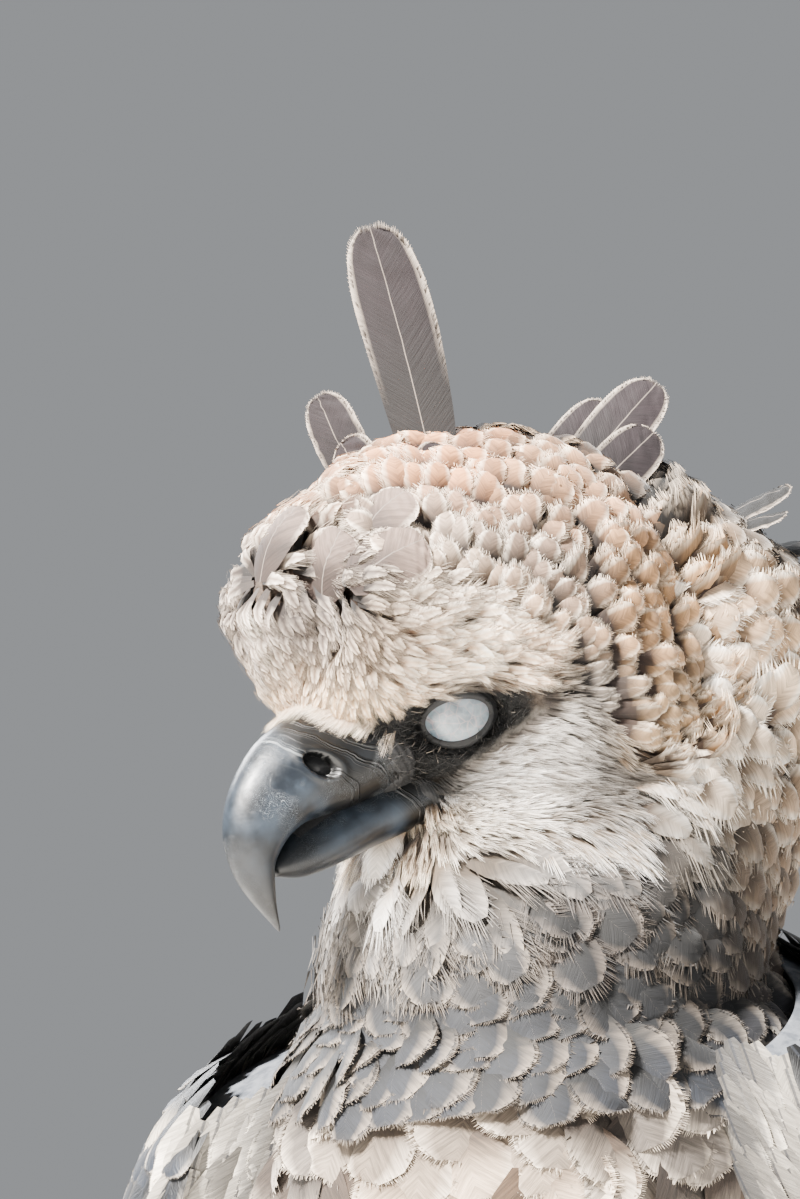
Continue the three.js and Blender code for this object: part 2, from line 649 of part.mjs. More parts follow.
// A claw: an arc that leaves the toe's end rising and comes down to the floor, as long as the claw is
// along its curve.
function clawSolid(side, toe) {
  const heading = toeHeading(side, toe);
  const end = toePath(side, toe).at(-1);
  end.addScaledVector(heading, -0.45 * toe.radius).setZ(end.z + 0.1 * toe.radius);
  const radius = toe.claw / CLAW.arc;
  const onArc = (centre, angle) =>
    centre.clone().addScaledVector(heading, radius * Math.cos(angle)).add(vec(0, 0, radius * Math.sin(angle)));
  const first = CLAW.rise * RAD;
  const centre = onArc(end, first + Math.PI);
  const last = Math.asin((CLAW.tip - centre.z) / radius);
  const path = [0, 0.2, 0.4, 0.6, 0.8, 1].map((t) => onArc(centre, mix(first, last, t)).toArray());
  const thick = toe.radius * CLAW.thick;
  const taper = [[0, thick], [0.25, thick * 0.92], [0.6, thick * 0.6], [0.85, thick * 0.3], [1, 0.6]];
  const across = heading.clone().cross(vec(0, 0, 1)).toArray();
  const surface = limb(path, taper, { rounding: 0.05, side: across });
  return loft(flattened(surface), { around: 8, rows: 6 });
}

// The model
const bird = new THREE.Group();
bird.position.set(-BOX_MIDDLE.x, -BOX_MIDDLE.y, 0);

function add(name, made, color, roughness = 0.8) {
  const whole = largest(made);
  const mesh = whole.getMesh();
  const geometry = new THREE.BufferGeometry();
  geometry.setAttribute("position", new THREE.BufferAttribute(mesh.vertProperties, 3));
  geometry.setIndex(new THREE.BufferAttribute(mesh.triVerts, 1));
  const node = new THREE.Mesh(geometry, new THREE.MeshStandardMaterial({ color, roughness }));
  node.name = name;
  bird.add(node);
}

add("torso", torsoLoft(0), COLOURS.down);
add("neck", makeNeck(), COLOURS.down);
add("head", makeHead(), COLOURS.down);
add("bill_upper", makeUpperBill(), COLOURS.bill, 0.4);
add("bill_lower", makeLowerBill(), COLOURS.bill, 0.4);
add("tail", makeTail(), COLOURS.tail);

for (const [name, side] of Object.entries(SIDES)) {
  add(`eye_${name}`, eyeball(side, 0), COLOURS.eye, 0.15);
  add(`wing_${name}`, makeWing(side, WING.raised[name]), COLOURS.slate);
  const wholeWing = wingPad(wingSurface(side, WING.raised[name]), { out: 11, down: 14 });
  add(`thigh_${name}`, thigh(side, 0).subtract(join([torsoLoft(GAP), wholeWing])), COLOURS.down);
  add(`tarsus_${name}`, tarsus(side, 0).subtract(thigh(side, GAP)), COLOURS.scale, 0.6);
  add(`foot_${name}`, makeFoot(side), COLOURS.scale, 0.6);
  for (const toe of TOES) {
    const claw = clawSolid(side, toe).subtract(toeSolid(side, toe, GAP));
    add(`claw_${toe.name}_${name}`, claw, COLOURS.claw, 0.3);
  }
}

const model = new THREE.Group();
model.add(bird);
export default model;
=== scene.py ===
"""Looks of a life-size young harpy eagle: one skin, feathers set in tracts, horn, eyes and scaled feet."""
import logging
import math
from dataclasses import dataclass, field, replace
from enum import Enum
from functools import partial
from typing import Callable, Sequence

import bpy
import numpy as np
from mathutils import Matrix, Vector
from mathutils.bvhtree import BVHTree
from mathutils.kdtree import KDTree


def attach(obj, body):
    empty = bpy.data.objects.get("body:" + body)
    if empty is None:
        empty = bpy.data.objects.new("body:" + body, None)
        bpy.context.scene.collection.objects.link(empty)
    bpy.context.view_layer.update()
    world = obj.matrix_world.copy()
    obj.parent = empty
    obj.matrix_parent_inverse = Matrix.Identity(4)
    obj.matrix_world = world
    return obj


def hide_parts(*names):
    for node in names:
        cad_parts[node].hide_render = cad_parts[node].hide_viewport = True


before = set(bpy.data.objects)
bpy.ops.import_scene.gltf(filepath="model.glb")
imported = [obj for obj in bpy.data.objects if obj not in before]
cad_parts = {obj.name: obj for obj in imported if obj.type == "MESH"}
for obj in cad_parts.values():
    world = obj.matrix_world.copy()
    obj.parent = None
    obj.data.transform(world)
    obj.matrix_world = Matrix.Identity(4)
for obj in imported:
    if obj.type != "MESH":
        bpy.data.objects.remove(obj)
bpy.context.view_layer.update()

LOG = logging.getLogger("eagle")
SEED = 41
BOX_MIDDLE = np.array([0.0, 174.8, 0.0])  # millimetres: the bird's own frame is moved by this
BAKE_MAP = "OFBake"
VANE_MAP = "Vane"
PATCH = 0.003  # how wide a feather's patch is on the unwrap
REACH = 1.3  # how far a feather's middle line runs, as a share of its length, to carry its fringe
SIDES = {"left": 1.0, "right": -1.0}
Stations = Sequence[Sequence[float]]
Colour = tuple[float, float, float]
Test = Callable[[np.ndarray], np.ndarray]  # says for each point whether it can carry a feather


# Small helpers
def through(stations: Stations) -> Callable[[np.ndarray], np.ndarray]:
    """A smooth curve through [x, y] stations, flat beyond its ends.

    Args:
        stations: The points, with x rising.

    Returns:
        A function from x to y that takes arrays.
    """
    points = np.array(stations, float)
    xs, ys = points[:, 0], points[:, 1]
    before, after = np.maximum(np.arange(len(xs)) - 1, 0), np.minimum(np.arange(len(xs)) + 1, len(xs) - 1)
    slopes = (ys[after] - ys[before]) / (xs[after] - xs[before])

    def curve(x: np.ndarray) -> np.ndarray:
        """The curve's height at x.

        Args:
            x: Where along the stations.

        Returns:
            The curve's height.
        """
        x = np.clip(np.asarray(x, float), xs[0], xs[-1])
        i = np.clip(np.searchsorted(xs, x, side="left") - 1, 0, len(xs) - 2)
        wide = xs[i + 1] - xs[i]
        s = (x - xs[i]) / wide
        rise = ys[i] * (2 * s**3 - 3 * s**2 + 1) + ys[i + 1] * (3 * s**2 - 2 * s**3)
        return rise + wide * (slopes[i] * (s**3 - 2 * s**2 + s) + slopes[i + 1] * (s**3 - s**2))

    return curve


def dome(t: np.ndarray, reach: float) -> np.ndarray:
    """0 at an end, rising like a quarter circle to 1 at `reach` from it."""
    return np.sqrt(np.maximum(0, 1 - np.maximum(0, 1 - np.asarray(t) / reach) ** 2))


def smooth(x: np.ndarray, low: float, high: float) -> np.ndarray:
    """0 below low, 1 above high, and a smooth step between."""
    t = np.clip((np.asarray(x, float) - low) / (high - low), 0, 1)
    return t * t * (3 - 2 * t)


def bell(x: np.ndarray) -> np.ndarray:
    """A bell curve of height 1 at 0."""
    return np.exp(-np.asarray(x) ** 2)


def unit(vectors: np.ndarray) -> np.ndarray:
    """The vectors at length 1."""
    return vectors / (np.linalg.norm(vectors, axis=-1, keepdims=True) + 1e-12)


def mix(a: np.ndarray, b: np.ndarray, t: np.ndarray) -> np.ndarray:
    """The value that lies a share t of the way from a to b."""
    return a + (b - a) * t


def mottle(points: np.ndarray, size: float, seed: int) -> np.ndarray:
    """Smooth random patches from about -1 to 1 over space.

    Args:
        points: Places.
        size: How large a patch is.
        seed: Which pattern.

    Returns:
        One value for each place.
    """
    draw = np.random.default_rng(seed)
    waves = draw.normal(0, 1 / size, (24, points.shape[-1]))
    phase = draw.uniform(0, 2 * np.pi, 24)
    return np.sin(points @ waves.T * 2 + phase).sum(-1) / 24**0.5 * 1.2


def sided(point: Sequence[float], side: float) -> np.ndarray:
    """A point of the left side, mirrored where side is -1."""
    return np.array([point[0] * side, point[1], point[2]], float)


def eased(rows: int) -> np.ndarray:
    """Shares between 0 and 1, closer together near both ends."""
    return (1 - np.cos(np.pi * np.arange(1, rows) / rows)) / 2


def folded_degrees(angle: np.ndarray) -> np.ndarray:
    """Angles in degrees from -180 to 180."""
    return (np.asarray(angle) + 180) % 360 - 180


def grid_faces(corner: np.ndarray, around: bool = False) -> np.ndarray:
    """Two triangles for each cell of a grid of points.

    Args:
        corner: The points' numbers by row and column.
        around: Whether the last column joins the first.

    Returns:
        The triangles.
    """
    if around:
        corner = np.hstack([corner, corner[:, :1]])
    a, b, c, d = corner[:-1, :-1], corner[1:, :-1], corner[1:, 1:], corner[:-1, 1:]
    return np.vstack([np.stack([a, b, c], -1).reshape(-1, 3), np.stack([a, c, d], -1).reshape(-1, 3)])


def closed_faces(rings: int, around: int) -> np.ndarray:
    """The triangles of a closed form: rings of points, then one point for each end.

    Args:
        rings: How many rings.
        around: How many points a ring has.

    Returns:
        The triangles.
    """
    corner = np.arange(rings * around).reshape(rings, around)
    first, last = corner[0], corner[-1]
    caps = [np.stack([np.full(around, rings * around), first, np.roll(first, -1)], -1),
            np.stack([np.full(around, rings * around + 1), np.roll(last, -1), last], -1)]
    return np.vstack([grid_faces(corner, True), *caps])


class Nearest:
    """A search for the nearest of many places."""

    def __init__(self, places: np.ndarray) -> None:
        """Sorts the places.

        Args:
            places: The places.
        """
        self.tree = KDTree(len(places))
        for number, place in enumerate(places):
            self.tree.insert(place, number)
        self.tree.balance()

    def to(self, points: np.ndarray) -> tuple[np.ndarray, np.ndarray]:
        """The number of the place nearest to each point, and how far off it is."""
        found = [self.tree.find(point)[1:] for point in points]
        return np.array([number for number, _ in found], int), np.array([away for _, away in found])


# Forms of the body, in the bird's own frame in millimetres: it faces -Y and its left side is +X
class Form:
    """A surface given by an angle round it in degrees, how far along it, and how far outwards."""

    unwrap: tuple[float, float, float, float] = (0.0, 0.0, 1.0, 1.0)
    span: tuple[float, float] = (0.0, 1.0)

    def point(self, angle: np.ndarray, along: np.ndarray, outward: np.ndarray) -> np.ndarray:
        """The place of a point of the surface."""
        raise NotImplementedError

    def normal(self, angle: np.ndarray, along: np.ndarray) -> np.ndarray:
        """The surface's outward direction.

        Args:
            angle: Degrees round the form.
            along: How far along the form.

        Returns:
            One unit vector for each point.
        """
        step = 0.004 * (self.span[1] - self.span[0])
        round_it = self.point(angle + 0.8, along, 0.0) - self.point(angle - 0.8, along, 0.0)
        down_it = self.point(angle, along + step, 0.0) - self.point(angle, along - step, 0.0)
        normal = unit(np.cross(round_it, down_it))
        out = self.point(angle, along, 2.0) - self.point(angle, along, 0.0)
        return normal * np.sign((normal * out).sum(-1, keepdims=True) + 1e-9)

    def metric(self, angle: np.ndarray, along: np.ndarray) -> tuple[np.ndarray, np.ndarray]:
        """The millimetres in a degree round the form and in the whole of its length, near a point.

        Args:
            angle: Degrees round the form.
            along: How far along the form.

        Returns:
            Two numbers for each point.
        """
        step = 0.003 * (self.span[1] - self.span[0])
        wide = np.linalg.norm(self.point(angle + 0.5, along, 0.0) - self.point(angle - 0.5, along, 0.0),
                              axis=-1)
        long = np.linalg.norm(self.point(angle, along + step, 0.0) - self.point(angle, along - step, 0.0),
                              axis=-1)
        return np.maximum(wide, 0.1), np.maximum(long / (2 * step), 1e-3)

    def bake_place(self, angle: np.ndarray, along: np.ndarray) -> np.ndarray:
        """Where a point of the form lies on the unwrap of the skin.

        Args:
            angle: Degrees round the form.
            along: How far along the form.

        Returns:
            Two coordinates for each point.
        """
        low, high = self.span
        u0, v0, u1, v1 = self.unwrap
        u = mix(u0, u1, (np.asarray(angle) % 360) / 360)
        return np.stack([u, mix(v0, v1, np.clip((along - low) / (high - low), 0, 1))], -1)

    def grid(self, around: int, rows: int, grow: float, span: tuple[float, float] | None = None) -> "Mesh":
        """The whole form as a closed mesh.

        Args:
            around: Faces round the form.
            rows: Faces along the form.
            grow: How far outwards the surface is moved.
            span: The part of the form that is made, if not all.

        Returns:
            The mesh.
        """
        low, high = span or self.span
        along, angle = np.meshgrid(mix(low, high, eased(rows)), np.arange(around) * 360 / around,
                                   indexing="ij")
        ring = self.point(angle, along, grow).reshape(-1, 3)
        ends = np.stack([self.point(np.array([0.0, 180.0]), np.full(2, x), 0.0).mean(0)
                         for x in (low, high)])
        ends += grow * unit(ends - ends[::-1])
        made = Mesh(np.vstack([ring, ends]), closed_faces(rows - 1, around))
        made.face_outwards()
        return made


class Torso(Form):
    """The body, by the angle from the middle of the back and how far it is from the breast to the tail."""

    unwrap = (0.02, 0.02, 0.48, 0.40)
    front = np.array([0.0, -70.0, 640.0])
    back = np.array([0.0, 150.0, 245.0])
    radius = staticmethod(through([[0, 50], [0.1, 67], [0.3, 92], [0.5, 98], [0.7, 90], [0.85, 74],
                                   [1, 50]]))
    wider = staticmethod(through([[0, 0.06], [0.12, 0.1], [0.3, 0.06], [0.5, 0.03], [1, 0]]))
    breast = staticmethod(through([[0, 0.2], [0.1, 0.26], [0.25, 0.12], [0.5, 0.04], [0.8, 0.1], [1, 0]]))
    axis = unit(back - front)
    dorsal = unit(np.cross(axis, np.array([1.0, 0.0, 0.0])))
    dorsal = dorsal * np.sign(dorsal[2])

    @classmethod
    def round_axis(cls, angle: np.ndarray, along: np.ndarray, radius: np.ndarray) -> np.ndarray:
        """The point at a radius from the body's axis.

        Args:
            angle: Degrees round the form.
            along: How far along the form.
            radius: How far it is from the axis.

        Returns:
            One point for each.
        """
        angle, along, radius = np.broadcast_arrays(np.radians(angle), along, radius)
        place = cls.front + (cls.back - cls.front) * along[..., None]
        place = place + cls.dorsal * (radius * np.cos(angle))[..., None]
        return place + np.array([1.0, 0.0, 0.0]) * (radius * np.sin(angle))[..., None]

    def point(self, angle: np.ndarray, along: np.ndarray, outward: np.ndarray) -> np.ndarray:
        """The place of a point of the body.

        Args:
            angle: Degrees round the form.
            along: How far along the form.
            outward: How far outside the form.

        Returns:
            One point for each.
        """
        turned = np.radians(angle)
        side = self.wider(along) * np.sin(turned) ** 2
        breast = self.breast(along) * np.maximum(0, -np.cos(turned)) ** 2
        ends = dome(along, 0.14) * dome(1 - np.asarray(along), 0.16)
        return self.round_axis(angle, along, self.radius(along) * (1 + side + breast) * ends + outward)


class Limb(Form):
    """A round, tapering form along a smooth path."""

    def __init__(self, path: Stations, radius: Stations, rounding: float = 0.12,
                 side: Sequence[float] = (1, 0, 0), unwrap: Sequence[float] = (0, 0, 1, 1)) -> None:
        """Keeps the path as a fine line with its directions.

        Args:
            path: Points that the middle line passes.
            radius: How thick it is, by how far along.
            rounding: The share of the length over which each end is rounded.
            side: A direction square to the bend.
            unwrap: The form's place on the skin's unwrap.
        """
        self.unwrap = unwrap
        self.thick = through(radius)
        self.rounding = rounding
        points = np.array(path, float)
        self.steps = np.linspace(0, 1, 241)
        self.line = np.stack([self._spline(points, t) for t in self.steps])
        tangent = unit(np.gradient(self.line, axis=0))
        self.up = unit(np.cross(tangent, np.array(side, float)))
        self.across = unit(np.cross(self.up, tangent))

    @staticmethod
    def _spline(points: np.ndarray, t: float) -> np.ndarray:
        """A centripetal spline through the points at a share t of their count.

        Args:
            points: The points.
            t: The share.

        Returns:
            The point there.
        """
        last = len(points) - 1
        i = min(int(t * last), last - 1)
        s = t * last - i
        a = points[i - 1] if i > 0 else 2 * points[0] - points[1]
        d = points[i + 2] if i + 2 <= last else 2 * points[-1] - points[-2]
        b, c = points[i], points[i + 1]
        gaps = [np.linalg.norm(q - p) ** 0.5 for p, q in ((a, b), (b, c), (c, d))]
        first = (b - a) / gaps[0] - (c - a) / (gaps[0] + gaps[1]) + (c - b) / gaps[1]
        second = (c - b) / gaps[1] - (d - b) / (gaps[1] + gaps[2]) + (d - c) / gaps[2]
        first, second = first * gaps[1], second * gaps[1]
        bend = -3 * b + 3 * c - 2 * first - second
        return b + first * s + bend * s**2 + (2 * b - 2 * c + first + second) * s**3

    def _at(self, table: np.ndarray, along: np.ndarray) -> np.ndarray:
        """A table's value at a share of the path."""
        return np.stack([np.interp(along, self.steps, table[:, k]) for k in range(3)], -1)

    def point(self, angle: np.ndarray, along: np.ndarray, outward: np.ndarray) -> np.ndarray:
        """The place of a point of the limb.

        Args:
            angle: Degrees round the form.
            along: How far along the form.
            outward: How far outside the form.

        Returns:
            One point for each.
        """
        angle, along, outward = np.broadcast_arrays(np.radians(angle), along, outward)
        along = np.asarray(along, float)
        radius = self.thick(along) * dome(along, self.rounding) * dome(1 - along, self.rounding) + outward
        place = self._at(self.line, along)
        place = place + self._at(self.across, along) * (radius * np.sin(angle))[..., None]
        return place + self._at(self.up, along) * (radius * np.cos(angle))[..., None]


@dataclass(frozen=True)
class Swelling:
    """A swelling or hollow of the head: its direction from the middle, height and width in radians."""

    toward: tuple[float, float, float]
    height: float
    width: float


class Head(Form):
    """The head, by the angle round the bill's line from the crown and the degrees back from the bill."""

    unwrap = (0.52, 0.02, 0.98, 0.48)
    span = (0.0, 180.0)
    eyes = np.array([-30.0, -84.0, 700.0])
    turned = 37.0
    tipped = 24.0
    middle = np.array([-28.0, 0.0, 5.0])
    before, behind, beside, above, below = 58.0, 72.0, 49.0, 56.0, 58.0  # reach from its middle
    swellings = (
        Swelling((0.8, 0.28, 0.56), 13, 0.38), Swelling((0.8, -0.28, 0.56), 13, 0.38),
        Swelling((0.3, 0, 0.95), 6, 0.5),
        Swelling((0.64, 0.7, 0.34), 5, 0.26), Swelling((0.64, -0.7, 0.34), 5, 0.26),
        Swelling((0.64, 0.73, -0.22), -12, 0.34), Swelling((0.64, -0.73, -0.22), -12, 0.34),
        Swelling((-0.25, 0.68, -0.66), 17, 0.5), Swelling((-0.25, -0.68, -0.66), 17, 0.5),
        Swelling((0.8, 0, -0.6), -7, 0.35),
        Swelling((0.96, 0.12, 0.23), -6, 0.12), Swelling((0.9, 0.26, 0.35), -9, 0.12),
        Swelling((0.82, 0.29, 0.5), -9, 0.13), Swelling((0.7, 0.3, 0.65), -7, 0.13),
        Swelling((0.9, -0.26, 0.35), -5, 0.12), Swelling((0.8, -0.29, 0.52), -5, 0.13),
        Swelling((0.84, 0.03, 0.54), 3, 0.18), Swelling((0.7, 0.5, 0.5), 4, 0.17),
        Swelling((0.7, -0.5, 0.5), 4, 0.17),
    )

    def __init__(self) -> None:
        """Works out the head's own directions in the bird's frame."""
        a, c = math.radians(self.tipped), math.radians(-self.turned)
        turn = np.array([[math.cos(c), -math.sin(c), 0], [math.sin(c), math.cos(c), 0], [0, 0, 1]])
        tip = np.array([[1, 0, 0], [0, math.cos(a), -math.sin(a)], [0, math.sin(a), math.cos(a)]])
        both = turn @ tip
        self.forward = both @ np.array([0.0, -1.0, 0.0])
        self.left = both @ np.array([1.0, 0.0, 0.0])
        self.upward = -np.cross(self.left, self.forward)
        self.axes = np.stack([self.forward, self.left, self.upward])

    def place(self, local: np.ndarray) -> np.ndarray:
        """Points given as forward, left and up from between the eyes, in the bird's frame."""
        return self.eyes + np.asarray(local, float) @ self.axes

    def local(self, points: np.ndarray) -> np.ndarray:
        """Points of the bird's frame as forward, left and up from between the eyes."""
        return (points - self.eyes) @ self.axes.T

    def reach(self, toward: np.ndarray) -> np.ndarray:
        """How far the surface lies from the head's middle in each direction.

        Args:
            toward: Directions from the head's middle.

        Returns:
            One distance for each.
        """
        f, l, u = toward[..., 0], toward[..., 1], toward[..., 2]
        long = np.where(f > 0, self.before, self.behind)
        high = np.where(u > 0, self.above, self.below)
        reach = 1 / np.sqrt((f / long) ** 2 + (l / self.beside) ** 2 + (u / high) ** 2)
        for form in self.swellings:
            away = np.arccos(np.clip(toward @ unit(np.array(form.toward, float)), -1, 1))
            reach = reach + form.height * bell(away / form.width)
        return reach

    def point(self, angle: np.ndarray, along: np.ndarray, outward: np.ndarray) -> np.ndarray:
        """The place of a point of the head.

        Args:
            angle: Degrees round the form.
            along: How far along the form.
            outward: How far outside the form.

        Returns:
            One point for each.
        """
        angle, along, outward = np.broadcast_arrays(np.radians(angle), np.radians(along), outward)
        toward = np.stack([np.cos(along), np.sin(along) * np.sin(angle), np.sin(along) * np.cos(angle)], -1)
        return self.place(self.middle + toward * (self.reach(toward) + outward)[..., None])

    def angles(self, local: np.ndarray) -> tuple[np.ndarray, np.ndarray]:
        """The angle and the degrees back of a place given as forward, left and up.

        Args:
            local: Places given as forward, left and up.

        Returns:
            Both, for each place.
        """
        toward = unit(np.asarray(local, float) - self.middle)
        back = np.degrees(np.arccos(np.clip(toward[..., 0], -1, 1)))
        return np.degrees(np.arctan2(toward[..., 1], toward[..., 2])), back


class WingForm(Form):
    """A folded wing on the body's axis; the angle runs from the back towards the wing's side."""

    span = (0.0, 1.4)
    radius = staticmethod(through([[0, 64], [0.12, 80], [0.3, 102], [0.5, 105], [0.7, 96], [0.85, 84],
                                   [1, 76], [1.4, 80]]))
    wider = staticmethod(through([[0, 0.1], [0.12, 0.16], [0.3, 0.08], [0.5, 0.05], [0.8, 0.05], [1.4, 0]]))
    lower = staticmethod(through([[0, 104], [0.12, 118], [0.3, 120], [0.5, 104], [0.7, 90], [0.9, 72],
                                  [1.1, 50], [1.4, 30]]))
    upper = staticmethod(through([[0, 34], [0.1, 16], [0.3, 8], [1.4, 4]]))

    def __init__(self, name: str) -> None:
        """Keeps the side and how far along the body the wing sits.

        Args:
            name: "left" or "right".
        """
        self.side = SIDES[name]
        self.raised = {"left": 0.012, "right": 0.04}[name]
        self.unwrap = (0.02, 0.44, 0.24, 0.72) if self.side > 0 else (0.26, 0.44, 0.48, 0.72)

    def thickness(self, angle: np.ndarray, along: np.ndarray) -> np.ndarray:
        """How far the wing's outside stands over its inside, most at the wrist."""
        return 6 + 23 * bell((np.asarray(angle) - 102) / 30) * bell((np.asarray(along) - 0.15) / 0.14)

    def point(self, angle: np.ndarray, along: np.ndarray, outward: np.ndarray) -> np.ndarray:
        """The place of a point of the wing.

        Args:
            angle: Degrees round the form.
            along: How far along the form.
            outward: How far outside the form.

        Returns:
            One point for each.
        """
        along = np.asarray(along, float)
        wider = 1 + self.wider(along) * np.sin(np.radians(angle)) ** 2
        radius = self.radius(along) * wider + self.thickness(angle, along) + outward
        return Torso.round_axis(self.side * np.asarray(angle, float), along + self.raised, radius)

    def across(self, share: np.ndarray, along: np.ndarray) -> np.ndarray:
        """The angle that lies a share of the way from the wing's upper edge to its lower one."""
        return mix(self.upper(along), self.lower(along), share)


class BillHalf(Form):
    """Half of the bill, between its ridge and its edge, given in the head's directions."""

    unwrap = (0.82, 0.52, 0.98, 0.60)

    def __init__(self, head: Head, ridge_f: Stations, ridge_u: Stations, edge_f: Stations, edge_u: Stations,
                 half: Stations) -> None:
        """Keeps the bill's stations as smooth curves.

        Args:
            head: The head.
            ridge_f: How far forward the ridge is, by how far along.
            ridge_u: How far up the ridge is.
            edge_f: How far forward the edge is.
            edge_u: How far up the edge is.
            half: Half its width.
        """
        self.head = head
        self.ridge = (through(ridge_f), through(ridge_u))
        self.edge = (through(edge_f), through(edge_u))
        self.half = through(half)

    def point(self, angle: np.ndarray, along: np.ndarray, outward: np.ndarray) -> np.ndarray:
        """The place of a point of the bill; 0 degrees is its ridge.

        Args:
            angle: Degrees round the form.
            along: How far along the form.
            outward: How far outside the form.

        Returns:
            One point for each.
        """
        angle, along, outward = np.broadcast_arrays(np.radians(angle), along, outward)
        ridge = np.stack([self.ridge[0](along), self.ridge[1](along)], -1)
        edge = np.stack([self.edge[0](along), self.edge[1](along)], -1)
        high = np.linalg.norm(edge - ridge, axis=-1) / 2
        down = unit(edge - ridge)
        ends = dome(along, 0.06) * dome(1 - along, 0.02)
        wide = self.half(along) * (1 - 0.22 * np.cos(angle)) * ends + outward
        place = (ridge + edge) / 2 - down * (np.cos(angle) * (high * ends + outward))[..., None]
        local = np.stack([place[..., 0], wide * np.sin(angle), place[..., 1]], -1)
        return self.head.place(local)


# Meshes
@dataclass
class Mesh:
    """Points in the bird's frame and triangles, with what each point carries."""

    points: np.ndarray
    faces: np.ndarray
    tint: np.ndarray | None = None
    vane: np.ndarray | None = None
    bake: np.ndarray | None = None

    def face_outwards(self) -> None:
        """Turns all faces round if the mesh's volume comes out negative."""
        a, b, c = (self.points[self.faces[:, k]] for k in range(3))
        if (np.cross(a, b) * c).sum() < 0:
            self.faces = self.faces[:, ::-1]

    def to_object(self, name: str, material: bpy.types.Material) -> bpy.types.Object:
        """The mesh as a Blender object in the shared frame.

        Args:
            name: The piece's name.
            material: Its finish.

        Returns:
            The linked object.
        """
        data = bpy.data.meshes.new(name)
        count = len(self.faces)
        data.vertices.add(len(self.points))
        data.vertices.foreach_set("co", ((self.points - BOX_MIDDLE) / 1000).astype(np.float32).ravel())
        data.loops.add(3 * count)
        corners = self.faces.astype(np.int32).ravel()
        data.loops.foreach_set("vertex_index", corners)
        data.polygons.add(count)
        data.polygons.foreach_set("loop_start", np.arange(0, 3 * count, 3, dtype=np.int32))
        data.polygons.foreach_set("use_smooth", np.full(count, True))
        data.update(calc_edges=True)
        for label, values in ((VANE_MAP, self.vane), (BAKE_MAP, self.bake)):
            if values is not None:
                layer = data.uv_layers.new(name=label, do_init=False)
                layer.data.foreach_set("uv", values[corners].astype(np.float32).ravel())
        if self.tint is not None:
            layer = data.color_attributes.new("Tint", "FLOAT_COLOR", "POINT")
            layer.data.foreach_set("color", self.tint.astype(np.float32).ravel())
        data.materials.append(material)
        made = bpy.data.objects.new(name, data)
        bpy.context.scene.collection.objects.link(made)
        return made


def joined(meshes: Sequence[Mesh]) -> Mesh:
    """Several meshes as one.

    Args:
        meshes: The meshes, all carrying the same things.

    Returns:
        One mesh with all their points and faces.
    """
    starts = np.cumsum([0] + [len(mesh.points) for mesh in meshes])
    faces = np.vstack([mesh.faces + start for mesh, start in zip(meshes, starts)])
    carried = {}
    for name in ("tint", "vane", "bake"):
        values = [getattr(mesh, name) for mesh in meshes]
        carried[name] = np.vstack(values) if all(value is not None for value in values) else None
    return Mesh(np.vstack([mesh.points for mesh in meshes]), faces, **carried)


def tone(code: str, curve: float = 4.3) -> np.ndarray:
    """A colour written as six hexadecimal digits, the way it shows in full light, as light values."""
    return np.array([int(code[k : k + 2], 16) / 255 for k in (0, 2, 4)]) ** curve


# Feathers
@dataclass(frozen=True)
class Pattern:
    """How a feather is cut: rows and columns of its vane, its outline, and the teeth of its fringe."""

    rows: int
    columns: int
    teeth: int
    outline: Stations
    barb: float  # how long a tooth is, as a share of half the feather's width
    tooth: float  # how wide a tooth's root is, as a share of the space it has
    strands: int = 0  # loose hairs that take the place of the vane
    fluff: float = 0.0  # how far single barbs stand off, as a share of half the width


class Cut(Enum):
    """The kinds of feather."""

    HAIR = Pattern(1, 1, 0, ((0, 1), (1, 1)), 0.0, 0.05, 20, 0.25)
    COMBED = Pattern(6, 4, 70, ((0, 0.3), (0.3, 0.72), (0.6, 0.84), (0.85, 0.7), (1, 0.36)), 0.46, 0.46, 0,
                     0.06)
    SOFT = Pattern(7, 4, 84, ((0, 0.3), (0.3, 0.8), (0.6, 0.96), (0.85, 0.84), (1, 0.42)), 0.13, 0.48, 0,
                   0.02)
    SMOOTH = Pattern(8, 6, 60, ((0, 0.25), (0.3, 0.8), (0.6, 1), (0.85, 0.9), (0.95, 0.66), (1, 0.3)), 0.1,
                     0.46)
    PLUME = Pattern(4, 2, 64, ((0, 0.3), (0.3, 0.5), (0.6, 0.56), (0.85, 0.42), (1, 0.2)), 0.95, 0.4, 0,
                    0.14)
    CREST = Pattern(22, 10, 110,
                    ((0, 0.3), (0.2, 0.72), (0.5, 0.95), (0.75, 1), (0.9, 0.86), (0.97, 0.6), (1, 0.3)),
                    0.035, 0.5)
    FLIGHT = Pattern(22, 6, 40, ((0, 0.35), (0.2, 0.8), (0.55, 1), (0.86, 0.95), (0.96, 0.7), (1, 0.3)),
                     0.05, 0.46)
    BRISTLE = Pattern(4, 1, 0, ((0, 0.9), (0.5, 0.7), (1, 0.05)), 0.0, 0.0)


